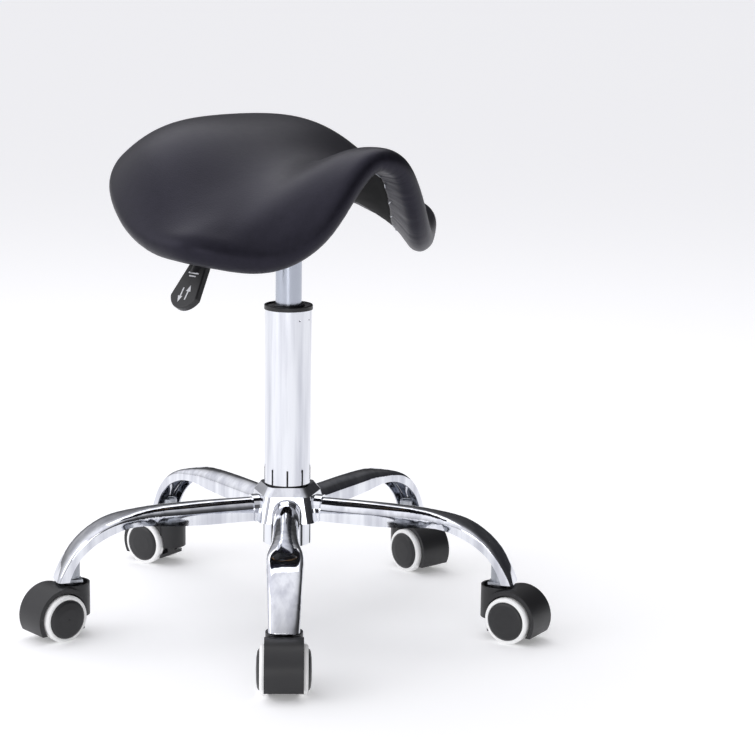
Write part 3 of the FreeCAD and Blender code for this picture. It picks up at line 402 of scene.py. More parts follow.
@dataclass(frozen=True)
class Plywood(Finish):
    """Pressed beech plywood: thin plies on the edge, long grain on the faces."""

    ply: float = 1.4 * MM
    grain: float = 1.0 / 420.0  # metres: streaks about 2.4 mm wide
    seam: str = "#8a6238"

    def shade(self, tree: NodeTree, shader: Node) -> None:
        """Stripes of ply through the thickness and streaks along the grain.

        Args:
            tree: the material's nodes.
            shader: its Principled shader.
        """
        at = add_node(tree, "ShaderNodeTexCoord").outputs["Object"]
        plies = add_node(tree, "ShaderNodeTexWave", {"Vector": at, "Scale": 0.3 / self.ply,
                                                     "Distortion": 1.5, "Detail": 2.0},
                         wave_type="BANDS", bands_direction="Z").outputs["Fac"]
        along = add_node(tree, "ShaderNodeMapping", {"Vector": at, "Scale": (1.0, 0.08, 1.0)}
                         ).outputs["Vector"]
        streak = add_node(tree, "ShaderNodeTexNoise", {
            "Vector": along, "Scale": 1.0 / self.grain, "Detail": 6.0}).outputs["Fac"]
        both = add_node(tree, "ShaderNodeMath", {0: plies, 1: streak}, operation="MULTIPLY")
        self.tint(tree, shader, both.outputs[0], self.seam)


@dataclass(frozen=True)
class SpunCloth(Finish):
    """Spun-bonded polypropylene cloth: matt fibres pressed together at a grid of small dots."""

    dot: float = 1.6 * MM
    fibre: float = 1.0 / 2600.0  # metres: about 0.4 mm
    depth: float = 0.2 * MM
    gap: str = "#09090a"

    def shade(self, tree: NodeTree, shader: Node) -> None:
        """Bond dots and loose fibre.

        Args:
            tree: the material's nodes.
            shader: its Principled shader.
        """
        at = add_node(tree, "ShaderNodeTexCoord").outputs["Object"]
        dots = add_node(tree, "ShaderNodeTexVoronoi", {
            "Vector": at, "Scale": 1.0 / self.dot, "Randomness": 0.15}).outputs["Distance"]
        fibre = add_node(tree, "ShaderNodeTexNoise", {
            "Vector": at, "Scale": 1.0 / self.fibre, "Detail": 3.0}).outputs["Fac"]
        self.tint(tree, shader, fibre, self.gap)
        bump = add_node(tree, "ShaderNodeBump", {
            "Strength": 0.35, "Distance": self.depth, "Height": dots})
        tree.links.new(bump.outputs["Normal"], shader.inputs["Normal"])
        shader.inputs["Sheen Weight"].default_value = 0.02
        shader.inputs["Specular IOR Level"].default_value = 0.25


@dataclass(frozen=True)
class CutFoam(Finish):
    """Moulded flexible polyurethane foam: matt, pale grey, with an open-cell skin."""

    cell: float = 1.2 * MM
    depth: float = 0.4 * MM
    # The tone of the painted shade in the cell pits.
    hollow_shade: str = "#6f6f70"

    def shade(self, tree: NodeTree, shader: Node) -> None:
        """Cells of about a millimetre, with painted shade in their pits.

        Args:
            tree: the material's nodes.
            shader: its Principled shader.
        """
        at = add_node(tree, "ShaderNodeTexCoord").outputs["Object"]
        cells = add_node(tree, "ShaderNodeTexVoronoi", {"Vector": at, "Scale": 1.0 / self.cell}
                         ).outputs["Distance"]
        # Painted shade: the colour darkens in the cell pits.
        self.tint(tree, shader, cells, self.hollow_shade)
        bump = add_node(tree, "ShaderNodeBump", {
            "Strength": 0.5, "Distance": self.depth, "Height": cells})
        tree.links.new(bump.outputs["Normal"], shader.inputs["Normal"])


class Slot(Enum):
    """The record's material slots."""

    LEATHER = "black_leather"
    FOAM = "grey_foam"
    PLYWOOD = "plywood"
    LINING = "black_lining"
    ZINC = "zinc_steel"
    PAINTED = "black_steel"
    CHROME = "chrome"
    SATIN = "satin_steel"
    PLASTIC = "black_plastic"
    RUBBER = "black_rubber"
    TYRE = "white_tyre"


FINISHES: Dict[Slot, Finish] = {
    Slot.LEATHER: CoatedLeather("polyurethane coated leather, black", "#15141b", 0.41),
    Slot.FOAM: CutFoam("moulded polyurethane foam, grey", "#a9a9a8", 0.92),
    Slot.PLYWOOD: Plywood("beech plywood, pressed", "#cfa874", 0.62),
    Slot.LINING: SpunCloth("spun-bonded polypropylene, black", "#141415", 0.92),
    Slot.ZINC: Plated("zinc plated steel", "#b9bcc2", 0.26, shadow="#9da1a8", wobble=0.10,
                      haze=0.12),
    Slot.PAINTED: Moulded("powder coated steel, black", "#1b1b1d", 0.46, tooth=0.25),
    Slot.CHROME: Plated("bright chrome plate on steel", "#e9ebf0", 0.035),
    Slot.SATIN: GroundSteel("ground steel tube, bright plated", "#b7bcc7", 0.22),
    Slot.PLASTIC: Moulded("moulded nylon, black", "#202022", 0.42),
    Slot.RUBBER: Moulded("moulded rubber, black", "#19191a", 0.62, tooth=0.3),
    Slot.TYRE: Moulded("moulded soft polyurethane, white", "#fbfbfa", 0.42, tooth=0.08),
}
PRINT = Moulded("pad printed ink, white", "#d9dade", 0.5, tooth=0.05)


def dress(piece: Object, finish: Finish) -> None:
    """Gives a piece or a CAD node one finish all over."""
    piece.data.materials.clear()
    piece.data.materials.append(finish.material())


# --- the saddle
@dataclass
class EdgePoint:
    """The pad's rounded edge on one ray out from its middle.

    core is the middle of the round, half its radius, normal points out of the pad's top, out points
    away from the pad, back is the width of the leather's return, and along is the way round so far.
    """

    core: Vector
    normal: Vector
    out: Vector
    half: float
    back: float
    along: float = 0.0


@dataclass
class SaddleSurvey:
    """Reads the pad's form off the CAD cover: its top, its rounded edge and its return."""

    middle: Vector = field(default_factory=lambda: Vector((0.0, 0.020, 0.0)))
    rays: int = 240
    first_half: float = 15.0 * MM
    plumb_clear: float = 0.1
    surely_on: float = 0.05
    surely_off: float = 0.30
    halvings: int = 22
    edge_rounds: int = 4
    recentrings: int = 3
    inboard: float = 3.0 * MM
    side_stand: float = 7.0 * MM
    side_band: Tuple[float, float] = (2.0 * MM, 14.0 * MM)
    return_step: float = 0.5 * MM
    return_limit: float = 60.0 * MM
    stand: float = 8.0 * MM
    under_slack: float = 9.0 * MM
    bend_slack: float = 4.0 * MM
    edge: List[EdgePoint] = field(default_factory=list)

    def __post_init__(self) -> None:
        """Walks round the pad: its outline first, then the middle of the rounded edge."""
        self.cover = ray_tree(["seat_cover"])
        low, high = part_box("seat_cover")
        self.sky, self.pit = high.z + self.plumb_clear, low.z - self.plumb_clear
        count = self.rays
        outline = [self._outline(2 * math.pi * k / count) for k in range(count)]
        for k, spot in enumerate(outline):
            lap = (outline[(k + 1) % count] - outline[k - 1]).normalized()
            self.edge.append(self._edge_point(spot, Vector((lap.y, -lap.x, 0.0))))
        for _ in range(self.recentrings):
            cores = [p.core.copy() for p in self.edge]
            for k, point in enumerate(self.edge):
                lap = (cores[(k + 1) % count] - cores[k - 1]).normalized()
                self._recentre(point, lap)
        for before, point in zip(self.edge, self.edge[1:]):
            point.along = before.along + (point.core - before.core).length
        self.lap = self.edge[-1].along + (self.edge[0].core - self.edge[-1].core).length
        widths = [self._return_width(p) for p in self.edge]
        for k, point in enumerate(self.edge):
            point.back = sorted(widths[(k + j) % count] for j in range(-2, 3))[2]

    def top(self, x: float, y: float) -> Optional[Vector]:
        """The highest point of the cover at (x, y), or None."""
        return self.cover.ray_cast(Vector((x, y, self.sky)), DOWN)[0]

    def under(self, x: float, y: float) -> Optional[Vector]:
        """The lowest point of the cover at (x, y), or None."""
        return self.cover.ray_cast(Vector((x, y, self.pit)), UP)[0]

    def _outline(self, turn: float) -> Vector:
        """Finds the pad's outline in plan on one ray, by halving.

        Args:
            turn: the ray's angle about the middle.

        Returns:
            The outline's point, level with the middle.
        """
        way = Vector((math.cos(turn), math.sin(turn), 0.0))
        near, far = self.surely_on, self.surely_off
        for _ in range(self.halvings):
            reach = 0.5 * (near + far)
            spot = self.middle + way * reach
            if self.top(spot.x, spot.y) is None:
                far = reach
            else:
                near = reach
        return self.middle + way * near

    def _edge_point(self, outline: Vector, away: Vector) -> EdgePoint:
        """Finds the middle of the rounded edge, half a thickness in from the outline.

        Args:
            outline: the outline's point in plan.
            away: the outline's outward direction in plan.

        Returns:
            The edge there, before it is recentred.
        """
        half, normal = self.first_half, UP
        for _ in range(self.edge_rounds):
            spot = outline - away * (half + self.inboard)
            hit, normal = self.cover.ray_cast(Vector((spot.x, spot.y, self.sky)), DOWN)[:2]
            normal = normal if normal.z > 0 else -normal
            half = 0.5 * (hit.z - self.under(spot.x, spot.y).z) * normal.z
        spot = outline - away * half
        upper, lower = self.top(spot.x, spot.y), self.under(spot.x, spot.y)
        return EdgePoint((upper + lower) * 0.5, normal.normalized(), away, half, 0.0)

    def _reach(self, point: EdgePoint, way: Vector) -> Tuple[float, Vector]:
        """Measures from an edge point to the cover's outside.

        Args:
            point: the edge point.
            way: the unit direction to measure in.

        Returns:
            The distance, and the way the cover faces there.
        """
        stand = point.half + self.side_stand
        hit, face, _, far = self.cover.ray_cast(point.core + way * stand, -way)
        if hit is None or not self.side_band[0] < far < self.side_band[1]:
            return point.half, way
        return stand - far, (face if face.dot(way) > 0 else -face)

    def _recentre(self, point: EdgePoint, lap: Vector) -> None:
        """Moves an edge point to the middle of the round it lies in.

        Args:
            point: the edge point, which is changed.
            lap: the unit direction round the pad there.
        """
        out = lap.cross(point.normal).normalized()
        point.out = out if out.dot(point.out) > 0 else -out
        above, face_above = self._reach(point, point.normal)
        below, face_below = self._reach(point, -point.normal)
        beside = self._reach(point, point.out)[0]
        point.half = 0.5 * (above + below)
        point.core = (point.core + point.normal * (0.5 * (above - below))
                      + point.out * (beside - point.half))
        point.normal = (face_above - face_below).normalized()
        out = lap.cross(point.normal).normalized()
        point.out = out if out.dot(point.out) > 0 else -out

    def _return_width(self, point: EdgePoint) -> float:
        """Measures how far the leather comes back under the pad from the end of the bend.

        Args:
            point: the edge point.

        Returns:
            The return's width, along the underside.
        """
        reach, step = 0.0, self.return_step
        while reach < self.return_limit and self._under_at(point, reach + step) is not None:
            reach += step
        return reach

    def _under_at(self, point: EdgePoint, reach: float) -> Optional[Vector]:
        """Finds the underside a distance in from the end of the bend.

        Args:
            point: the edge point.
            reach: the distance in, along the underside.

        Returns:
            The point, or None past the leather.
        """
        start = point.core - point.normal * (point.half + self.stand) - point.out * reach
        hit, _, _, far = self.cover.ray_cast(start, point.normal)
        return hit if hit is not None and far < self.stand + self.under_slack else None

    def at(self, turn: float) -> EdgePoint:
        """Reads the edge at any angle, blended between the rays.

        Args:
            turn: the angle about the middle.

        Returns:
            The edge there.
        """
        where = (turn / (2 * math.pi)) % 1.0 * self.rays
        k = int(where)
        t = where - k
        a, b = self.edge[k % self.rays], self.edge[(k + 1) % self.rays]
        ahead = b.along if (k + 1) < self.rays else self.lap
        return EdgePoint(a.core.lerp(b.core, t), a.normal.lerp(b.normal, t).normalized(),
                         a.out.lerp(b.out, t).normalized(), a.half + (b.half - a.half) * t,
                         a.back + (b.back - a.back) * t, a.along + (ahead - a.along) * t)

    def lap_circle(self, turn: float) -> Vector:
        """Places a ray's edge on a unit circle, evenly by length, so that patterns close up.

        Args:
            turn: the ray's angle.

        Returns:
            The circle's point.
        """
        angle = 2 * math.pi * self.at(turn).along / self.lap
        return Vector((math.cos(angle), math.sin(angle), 0.0))

    def over(self, turn: float, share: float) -> Vector:
        """Finds a point of the top, a share of the way out along a ray.

        Args:
            turn: the ray's angle.
            share: 0 at the middle, 1 at the rim.

        Returns:
            The point.
        """
        point = self.at(turn)
        rim = point.core + point.normal * point.half
        spot = self.middle.lerp(rim, share)
        hit = self.top(spot.x, spot.y)
        return hit if hit is not None else rim

    def bend(self, turn: float, angle: float) -> Vector:
        """Finds a point of the rounded edge.

        Args:
            turn: the ray's angle.
            angle: how far round the bend, 0 on top and pi below.

        Returns:
            The point.
        """
        point = self.at(turn)
        way = point.normal * math.cos(angle) + point.out * math.sin(angle)
        hit = self.cover.ray_cast(point.core + way * (point.half + self.stand), -way)[0]
        plain = point.core + way * point.half
        return hit if hit is not None and (hit - plain).length < self.bend_slack else plain

    def beneath(self, turn: float, reach: float) -> Vector:
        """Finds a point of the underside.

        Args:
            turn: the ray's angle.
            reach: how far in from the end of the bend.

        Returns:
            The point, on the pad's flat where the leather has ended.
        """
        point = self.at(turn)
        hit = self._under_at(point, reach)
        if hit is not None:
            return hit
        return point.core - point.normal * point.half - point.out * reach


@dataclass
class SaddlePad:
    """The upholstered saddle: leather cover, foam core and the lining stapled under it.

    A vertex's station is 0 to 1 from the middle to the rim, 2 at the end of the bend and 3 at the
    leather's cut edge. The pad's nose is its narrow front.
    """

    survey: SaddleSurvey
    squares: int = 72
    bend_rows: int = 10
    under_rows: int = 5
    leather: float = 1.3 * MM
    swell: float = 2.2 * MM
    pressure: float = 4.0
    frames: int = 20
    held_span: Tuple[float, float] = (1.35, 1.8)
    relaxed_to: float = 1.6
    relaxings: int = 4
    pleat: float = 8.5 * MM
    pleat_rise: float = 0.5 * MM
    pleat_onset: float = 1.72
    pleat_full: float = 2.15
    nose_span: Tuple[float, float] = (0.55, 0.9)
    nose_lead: float = 0.42
    pleat_share: float = 0.65
    nose_share: float = 0.5
    fold_every: float = 3.1
    fine_every: float = 1.4
    fold_share: float = 0.7
    fine_share: float = 0.5
    fold_dip: float = 0.2
    scallop: float = 4.0 * MM
    scallop_wave: float = 14.0 * MM
    nick: float = 1.8 * MM
    nick_wave: float = 5.0 * MM
    foam_weld: float = 0.02 * MM
    foam_cell: float = 3.0 * MM
    lining_rays: int = 200
    lining_rows: int = 22
    lining_wall: float = 0.35 * MM
    lining_tuck: float = 5.5 * MM
    lining_rise: float = 1.9 * MM
    lining_lift: float = 1.5 * MM
    lining_wave: float = 0.9 * MM
    wave_scales: Tuple[float, float] = (55.0, 160.0)
    wave_rest: float = 0.35
    tuck_share: float = 0.09
    rim_share: float = 0.02
    row_crowding: float = 1.15
    boss_x: float = 0.054
    boss_y: float = 0.057
    boss_middle: float = 0.017

    def build(self) -> List[Object]:
        """Makes the cover, the core and the lining."""
        return [self.cover(), self.core(), self.lining()]

    # -- leather
    def cover(self) -> Object:
        """Makes the leather cover, drawn over the pad, swollen by cloth simulation, then pleated.

        Returns:
            The cover.
        """
        piece = self._drawn_cover()
        self._swell(piece)
        finer = piece.modifiers.new("finer", "SUBSURF")
        finer.levels = finer.render_levels = 1
        settle_modifiers(piece)
        self._pleat(piece)
        thicken(piece, self.leather, -1.0)
        dress(piece, FINISHES[Slot.LEATHER])
        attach(piece, "seat")
        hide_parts("seat_cover")
        return piece

    def _drawn_cover(self) -> Object:
        """Makes the cover as one sheet: a square grid on the top, then rows round the edge.

        Returns:
            The sheet, with no thickness yet.
        """
        bm = bmesh.new()
        bmesh.ops.create_grid(bm, x_segments=self.squares, y_segments=self.squares, size=1.0)
        cosine, sine, station = (bm.verts.layers.float.new(name)
                                 for name in ("cosine", "sine", "station"))
        for vert in list(bm.verts):
            # The square is rounded to a disc, so the grid has no pole in the middle.
            x = vert.co.x * math.sqrt(1.0 - vert.co.y ** 2 / 2.0)
            y = vert.co.y * math.sqrt(1.0 - vert.co.x ** 2 / 2.0)
            share, turn = min(math.hypot(x, y), 1.0), math.atan2(y, x)
            vert[cosine], vert[sine], vert[station] = math.cos(turn), math.sin(turn), share
            vert.co = self.survey.over(turn, share)
        rim = [e for e in bm.edges if e.is_boundary]
        rows: List[Tuple[float, Callable[[float], Vector]]] = []
        for i in range(1, self.bend_rows + 1):
            angle = math.pi * i / self.bend_rows
            rows.append((1.0 + i / self.bend_rows,
                         lambda turn, a=angle: self.survey.bend(turn, a)))
        for i in range(1, self.under_rows + 1):
            part = i / self.under_rows
            rows.append((2.0 + part, lambda turn, p=part: self._returned(turn, p)))
        for mark, spot in rows:
            rim, added = grow_row(bm, rim)
            for vert in added:
                vert.co = spot(math.atan2(vert[sine], vert[cosine]))
                vert[station] = mark
        bmesh.ops.recalc_face_normals(bm, faces=bm.faces)
        return piece_from(bm, "saddle_cover")

    def _returned(self, turn: float, part: float) -> Vector:
        """Finds a point of the leather's return, whose cut edge wanders in and out.

        Args:
            turn: the ray's angle.
            part: 0 at the end of the bend, 1 at the cut edge.

        Returns:
            The point.
        """
        around = self.survey.lap_circle(turn)
        waves = self.survey.lap / self.scallop_wave / FULL_TURN
        nicks = self.survey.lap / self.nick_wave / FULL_TURN
        wander = 0.5 + 0.5 * noise.noise(around * waves + Vector((3, 1, 7)))
        nicked = max(noise.noise(around * nicks + Vector((9, 4, 2))), 0.0)
        cut = self.survey.at(turn).back - self.scallop * wander - self.nick * nicked
        return self.survey.beneath(turn, cut * part)

    def _swell(self, piece: Object) -> None:
        """Swells the cover with cloth, held at the return, and caps how far it moves.

        Args:
            piece: the cover's sheet, which is changed.
        """
        start = [v.co.copy() for v in piece.data.vertices]
        normals = [v.normal.copy() for v in piece.data.vertices]
        station = piece.data.attributes["station"].data
        held = piece.vertex_groups.new(name="held")
        for i, mark in enumerate(station):
            held.add([i], ease(mark.value, *self.held_span), "REPLACE")
        cloth = piece.modifiers.new("swell", "CLOTH")
        cloth.settings.vertex_group_mass = held.name
        cloth.settings.use_pressure = True
        cloth.settings.uniform_pressure_force = self.pressure
        cloth.settings.effector_weights.gravity = 0.0
        cloth.settings.quality = 6
        cloth.settings.tension_stiffness = 40.0
        cloth.settings.bending_stiffness = 8.0
        cloth.point_cache.frame_start, cloth.point_cache.frame_end = 1, self.frames
        scene = bpy.context.scene
        for step in range(1, self.frames + 1):
            scene.frame_set(step)
        settle_modifiers(piece)
        for i, vert in enumerate(piece.data.vertices):
            moved = (vert.co - start[i]).dot(normals[i])
            vert.co = start[i] + normals[i] * min(max(moved, 0.0), self.swell)
        piece.vertex_groups.clear()
        scene.frame_set(1)
        bm = bmesh.new()
        bm.from_mesh(piece.data)
        mark = bm.verts.layers.float["station"]
        upper = [v for v in bm.verts if v[mark] < self.relaxed_to]
        for _ in range(self.relaxings):
            bmesh.ops.smooth_vert(bm, verts=upper, factor=0.5, use_axis_x=True, use_axis_y=True,
                                  use_axis_z=True)
        bm.to_mesh(piece.data)
        bm.free()

    def _pleat(self, piece: Object) -> None:
        """Gathers the leather into small pleats where it is turned under.

        Args:
            piece: the cover's sheet, which is changed.
        """
        data = piece.data
        station = data.attributes["station"].data
        cosine, sine = data.attributes["cosine"].data, data.attributes["sine"].data
        pleats = self.survey.lap / self.pleat
        shift: List[Vector] = []
        for i, vert in enumerate(data.vertices):
            mark = station[i].value
            turn = math.atan2(sine[i].value, cosine[i].value)
            nose = ease(-sine[i].value, *self.nose_span)
            onset = self.pleat_onset - self.nose_lead * nose
            share = self.pleat_share + self.nose_share * nose
            amount = ease(mark, onset, self.pleat_full) * share
            if amount <= 0.0:
                shift.append(Vector())
                continue
            around = self.survey.lap_circle(turn)
            fold = noise.noise(around * (pleats / self.fold_every) + Vector((0, 5, mark * 0.4)))
            fine = noise.noise(around * (pleats / self.fine_every) + Vector((7, 0, mark * 0.9)))
            rise = (1.0 - 2.0 * abs(fold)) * self.fold_share + fine * self.fine_share
            shift.append(vert.normal * (self.pleat_rise * amount * (rise - self.fold_dip)))
        for vert, move in zip(data.vertices, shift):
            vert.co += move

    # -- foam
    def core(self) -> Object:
        """Makes the moulded foam core: the CAD solid, remeshed evenly.

        Returns:
            The core.
        """
        bm = bmesh.new()
        bm.from_mesh(frame["nodes"]["seat_foam"].data)
        bmesh.ops.remove_doubles(bm, verts=bm.verts, dist=self.foam_weld)
        piece = piece_from(bm, "saddle_core")
        cells = piece.modifiers.new("cells", "REMESH")
        cells.mode, cells.voxel_size, cells.use_smooth_shade = "VOXEL", self.foam_cell, True
        settle_modifiers(piece)
        dress(piece, FINISHES[Slot.FOAM])
        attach(piece, "seat")
        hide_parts("seat_foam")
        return piece

    # -- lining
    def lining(self) -> Object:
        """Makes the cloth lining: a ring from the mount's boss to under the leather's edge.

        Returns:
            The lining.
        """
        cloth = ray_tree(["underside_lining"])
        bm = bmesh.new()
        bmesh.ops.create_circle(bm, segments=self.lining_rays, radius=1.0)
        cosine, sine = (bm.verts.layers.float.new(n) for n in ("cosine", "sine"))
        turn_of = {v: math.atan2(v.co.y, v.co.x) for v in bm.verts}
        for vert, turn in turn_of.items():
            vert[cosine], vert[sine] = math.cos(turn), math.sin(turn)

        def spot(turn: float, part: float) -> Vector:
            """Finds a point of the lining.

            Args:
                turn: the ray's angle.
                part: 0 at the rim, 1 at the boss.

            Returns:
                The point.
            """
            point = self.survey.at(turn)
            rim = self.survey.beneath(turn, point.back - self.lining_tuck)
            tuck = ease(part, 0.0, self.tuck_share)
            way = Vector((math.cos(turn), math.sin(turn), 0.0))
            span = min(self.boss_x / max(abs(way.x), 1e-6), self.boss_y / max(abs(way.y), 1e-6))
            hole = Vector((0.0, self.boss_middle, 0.0)) + way * span
            flat = Vector((rim.x, rim.y, 0.0)).lerp(hole, part)
            hit = cloth.ray_cast(Vector((flat.x, flat.y, self.survey.pit)), UP)
            if part < self.rim_share or hit[0] is None:
                return rim + point.normal * self.lining_rise
            broad, tight = (noise.noise(flat * scale) for scale in self.wave_scales)
            wave = self.wave_rest + (broad * 0.5 + tight * 0.25)
            lift = self.lining_lift * (1.0 - tuck) + self.lining_wave * wave * tuck
            return hit[0] + point.normal * lift

        for vert, turn in turn_of.items():
            vert.co = spot(turn, 0.0)
        rim_edges = list(bm.edges)
        for i in range(1, self.lining_rows + 1):
            part = (i / self.lining_rows) ** self.row_crowding
            rim_edges, added = grow_row(bm, rim_edges)
            for vert in added:
                vert.co = spot(math.atan2(vert[sine], vert[cosine]), part)
        bmesh.ops.recalc_face_normals(bm, faces=bm.faces)
        area = sum(f.calc_area() for f in bm.faces)
        LOG.info("lining area %.4f m2", area)
        piece = piece_from(bm, "lining_cloth")
        thicken(piece, self.lining_wall, 0.0)
        dress(piece, FINISHES[Slot.LINING])
        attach(piece, "seat")
        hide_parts("underside_lining")
        return piece


# --- the lever
@dataclass
class LeverPrint:
    """A generic raise-and-lower sign printed on the lever's paddle: two arrows and a seat line."""

    length: float = 38.0 * MM
    width: float = 24.0 * MM
    film: float = 0.12 * MM
    stand: float = 6.0 * MM
    arrow_side: float = 0.17
    arrow_level: float = 0.26
    stem: Tuple[float, float] = (0.26, 0.07)
    stem_back: float = 0.04
    head: Tuple[float, float] = (0.24, 0.30)
    head_ahead: float = 0.14
    bars: Tuple[Tuple[float, float], ...] = ((-0.36, 0.62), (-0.27, 0.40))
    bar_width: float = 0.035
    face_up: float = 0.3
    face_aside: float = -0.2
    face_bins: int = 20

    def build(self) -> Object:
        """Makes the print on the paddle's upper face.

        Returns:
            The print.
        """
        paddle = frame["nodes"]["lever_paddle"].data
        middle, normal = self._face(paddle)
        along = Vector((-normal.z, 0.0, normal.x))
        if along.z > 0:
            along = -along
        along = (along - normal * along.dot(normal)).normalized()
        side = normal.cross(along).normalized()
        bm = bmesh.new()
        self._arrow(bm, Vector((-self.arrow_side, self.arrow_level)), 1.0)
        self._arrow(bm, Vector((self.arrow_side, self.arrow_level)), -1.0)
        for level, span in self.bars:
            self._bar(bm, Vector((level, 0.0)), Vector((self.bar_width, span)))
        for vert in bm.verts:
            vert.co = middle + along * (vert.co.x * self.length) + side * (vert.co.y * self.width)
        tree = ray_tree(["lever_paddle"])
        for vert in bm.verts:
            hit = tree.ray_cast(vert.co + normal * self.stand, -normal)[0]
            if hit is not None:
                vert.co = hit + normal * (0.5 * self.film)
        bmesh.ops.recalc_face_normals(bm, faces=bm.faces)
        piece = piece_from(bm, "lever_print", smooth=False)
        thicken(piece, self.film, 0.0)
        dress(piece, PRINT)
        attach(piece, "lever")
        return piece

    def _face(self, mesh: Mesh) -> Tuple[Vector, Vector]:
        """Finds the paddle's wide upper face among its triangles, which are grouped by direction.

        Args:
            mesh: the paddle's mesh.

        Returns:
            The face's middle and its normal.
        """
        best: Dict[Tuple[int, int, int], List] = {}
        for face in mesh.polygons:
            if face.normal.z > self.face_up and face.normal.x < self.face_aside:
                key = tuple(round(c * self.face_bins) for c in face.normal)
                entry = best.setdefault(key, [0.0, Vector(), Vector()])
                entry[0] += face.area
                entry[1] += face.center * face.area
                entry[2] += face.normal * face.area
        area, centre, normal = max(best.values(), key=lambda e: e[0])
        return centre / area, normal.normalized()

    def _bar(self, bm: BMesh, middle: Vector, size: Vector) -> None:
        """Adds a bar of the sign.

        Args:
            bm: the sign's mesh, flat, in shares of its length and width.
            middle: the bar's middle.
            size: its extent along and across the paddle.
        """
        made = bmesh.ops.create_grid(bm, x_segments=2, y_segments=2, size=0.5)["verts"]
        for vert in made:
            vert.co = Vector((middle.x + vert.co.x * size.x, middle.y + vert.co.y * size.y, 0.0))

    def _arrow(self, bm: BMesh, middle: Vector, way: float) -> None:
        """Adds an arrow that points along the paddle.

        Args:
            bm: the sign's mesh.
            middle: the arrow's middle, across and along.
            way: 1 for one end of the paddle, -1 for the other.
        """
        self._bar(bm, Vector((middle.y - self.stem_back * way, middle.x)), Vector(self.stem))
        made = bmesh.ops.create_circle(bm, cap_ends=True, segments=3, radius=0.5)["verts"]
        for vert in made:
            x, y = vert.co.y, vert.co.x
            vert.co = Vector((middle.y + way * (self.head_ahead + x * self.head[0]),
                              middle.x + y * self.head[1], 0.0))


# --- carried-over parts
@dataclass
class Metalwork:
    """The CAD nodes that show as they are; each gets its real finish."""

    def build(self) -> int:
        """Dresses the nodes by the record's slots.

        Returns:
            How many were dressed.
        """
        count = 0
        for entry in frame["record"]["subparts"]:
            dress(frame["nodes"][entry["node"]], FINISHES[Slot(entry["material_slot"])])
            count += 1
        return count


@dataclass
class PressedLegs:
    """The five pressed-steel legs, each a merged copy of the CAD leg, shaded smooth from hub to
    caster.
    """

    count: int = 5
    weld: float = 0.02 * MM
    crease: float = 38.0
    evenness: int = 60

    def build(self) -> List[Object]:
        """Makes the legs from merged copies of the CAD legs, creased only at their real edges."""
        return [self._leg(k) for k in range(1, self.count + 1)]

    def _leg(self, number: int) -> Object:
        """Makes one leg.

        Args:
            number: the leg's number, from 1.

        Returns:
            The leg.
        """
        node = "leg_%d" % number
        bm = bmesh.new()
        bm.from_mesh(frame["nodes"][node].data)
        bmesh.ops.remove_doubles(bm, verts=bm.verts, dist=self.weld)
        bmesh.ops.dissolve_degenerate(bm, edges=bm.edges, dist=self.weld)
        for edge in bm.edges:
            edge.smooth = len(edge.link_faces) == 2 and (
                edge.calc_face_angle(0.0) < math.radians(self.crease))
        piece = piece_from(bm, "pressed_" + node)
        even = piece.modifiers.new("even", "WEIGHTED_NORMAL")
        even.keep_sharp, even.weight = True, self.evenness
        settle_modifiers(piece)
        dress(piece, FINISHES[Slot.CHROME])
        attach(piece, "base")
        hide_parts(node)
        return piece


# --- the studio
@dataclass(frozen=True)
class Softbox:
    """A square lamp: its name, place, size in metres and power in watts."""

    name: str
    at: Tuple[float, float, float]
    size: float
    power: float


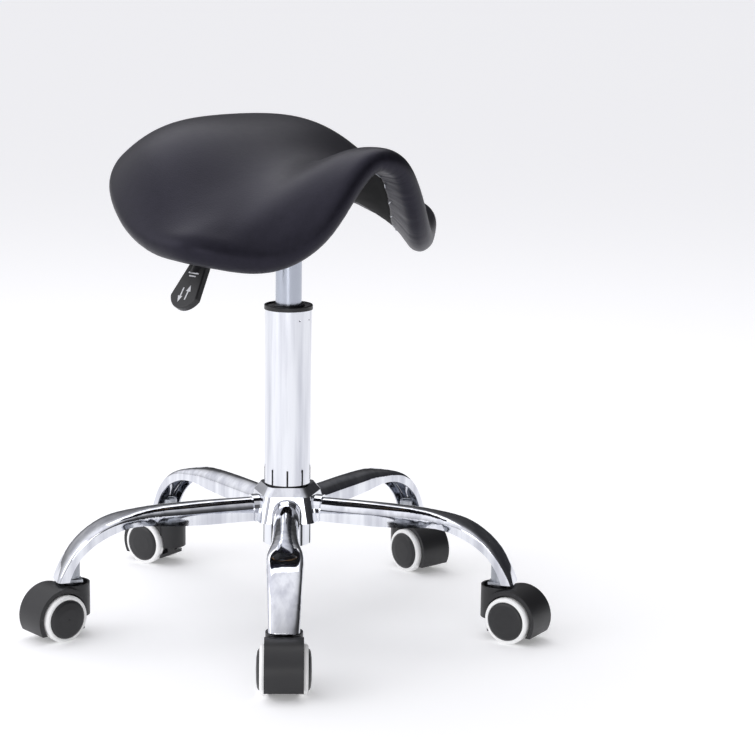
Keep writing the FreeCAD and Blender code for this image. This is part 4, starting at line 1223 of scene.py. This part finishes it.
@dataclass
class Studio:
    """A wide pale floor, a dome that is darker low down, three soft lamps and the camera."""

    floor_radius: float = 40.0
    floor_sides: int = 96
    floor_gap: float = 0.0002
    camera_at: Tuple[float, float, float] = (-1.6401, -1.6401, 0.7431)
    look_turn: float = 42.63
    look_down: float = 11.66
    roll: float = 0.88
    lens: float = 105.2
    sensor: float = 36.0
    bright_side: Tuple[float, float, float] = (-0.52, 0.33, 0.79)
    dome: Tuple[Tuple[float, float], ...] = ((0.36, 0.05), (0.50, 0.13), (0.64, 0.55), (0.82, 0.95))
    dome_power: float = 1.0
    dark_cosine: float = -0.6
    dome_ends: Tuple[Tuple[float, ...], ...] = ((0.03, 0.03, 0.035, 1), (1.2, 1.2, 1.25, 1))
    dome_blue: float = 1.04
    floor_glow: float = 0.24
    lamps: Tuple[Softbox, ...] = (Softbox("overhead", (0.5, 0.7, 2.2), 2.0, 14.0),
                                  Softbox("left", (-2.3, 1.0, 1.3), 1.8, 12.0),
                                  Softbox("low front", (-2.1, -1.7, 0.55), 0.8, 7.0))
    aim: Tuple[float, float, float] = (0.0, 0.0, 0.35)

    def build(self) -> None:
        """Makes the floor, the sky, the lamps and the camera."""
        self._floor()
        self._sky()
        self._lamps()
        self._camera()

    def _floor(self) -> None:
        """A wide pale disc just under the wheels."""
        bm = bmesh.new()
        bmesh.ops.create_circle(bm, cap_ends=True, segments=self.floor_sides,
                                radius=self.floor_radius)
        low = CAD_BOX[0].z
        bmesh.ops.translate(bm, verts=bm.verts, vec=(0.0, 0.0, low - self.floor_gap))
        floor = piece_from(bm, "floor", smooth=False)
        made = bpy.data.materials.new("studio paper, white")
        made.use_nodes = True
        shader = made.node_tree.nodes["Principled BSDF"]
        shader.inputs["Base Color"].default_value = linear("#f4f4f5")
        shader.inputs["Roughness"].default_value = 0.9
        shader.inputs["Specular IOR Level"].default_value = 0.1
        shader.inputs["Emission Color"].default_value = linear("#ffffff")
        shader.inputs["Emission Strength"].default_value = self.floor_glow
        floor.data.materials.append(made)

    def _sky(self) -> None:
        """A white dome that darkens away from its bright side, so that bright metal shows lines."""
        world = bpy.data.worlds.new("studio dome")
        bpy.context.scene.world = world
        world.use_nodes = True
        tree = world.node_tree
        way = add_node(tree, "ShaderNodeTexCoord").outputs["Generated"]
        lit = add_node(tree, "ShaderNodeVectorMath", {0: way, 1: self.bright_side},
                       operation="DOT_PRODUCT").outputs["Value"]
        share = add_node(tree, "ShaderNodeMapRange", {
            "Value": lit, "From Min": self.dark_cosine, "From Max": 1.0}).outputs["Result"]
        ramp = add_node(tree, "ShaderNodeValToRGB", {"Fac": share})
        first, last = ramp.color_ramp.elements
        first.position, first.color = 0.0, self.dome_ends[0]
        last.position, last.color = 1.0, self.dome_ends[1]
        for place, tone in self.dome:
            stop = ramp.color_ramp.elements.new(place)
            stop.color = (tone, tone, tone * self.dome_blue, 1)
        background = tree.nodes["Background"]
        tree.links.new(ramp.outputs["Color"], background.inputs["Color"])
        background.inputs["Strength"].default_value = self.dome_power

    def _lamps(self) -> None:
        """Three soft lamps: overhead, at the left, and low at the front."""
        for box in self.lamps:
            data = bpy.data.lights.new(box.name, "AREA")
            data.shape, data.size, data.energy = "SQUARE", box.size, box.power
            lamp = bpy.data.objects.new(box.name, data)
            bpy.context.scene.collection.objects.link(lamp)
            lamp.location = box.at
            aim = Vector(self.aim) - lamp.location
            lamp.rotation_euler = aim.to_track_quat("-Z", "Y").to_euler()

    def _camera(self) -> None:
        """The camera, a little above the seat and looking slightly down."""
        turn, dip, roll = (math.radians(a) for a in (self.look_turn, self.look_down, self.roll))
        ahead = Vector((math.cos(turn) * math.cos(dip), math.sin(turn) * math.cos(dip),
                        -math.sin(dip)))
        right = ahead.cross(UP).normalized()
        above = right.cross(ahead).normalized()
        across = right * math.cos(roll) + above * math.sin(roll)
        upright = above * math.cos(roll) - right * math.sin(roll)
        data = bpy.data.cameras.new("camera")
        data.lens, data.sensor_width = self.lens, self.sensor
        data.clip_start, data.clip_end = 0.05, 100.0
        camera = bpy.data.objects.new("camera", data)
        bpy.context.scene.collection.objects.link(camera)
        turned = Matrix((across, upright, -ahead)).transposed()
        camera.matrix_world = Matrix.Translation(self.camera_at) @ turned.to_4x4()
        bpy.context.scene.camera = camera
        bpy.context.scene.view_settings.view_transform = "Standard"


def main() -> None:
    """Builds the studio and each sub-assembly in order."""
    logging.basicConfig(level=logging.INFO, format="%(name)s: %(message)s")
    Studio().build()
    LOG.info("dressed %d carried-over nodes", Metalwork().build())
    made = SaddlePad(SaddleSurvey()).build() + PressedLegs().build() + [LeverPrint().build()]
    for piece in made:
        LOG.info("%s: %d faces", piece.name, len(piece.data.polygons))


if __name__ == "__main__":
    main()
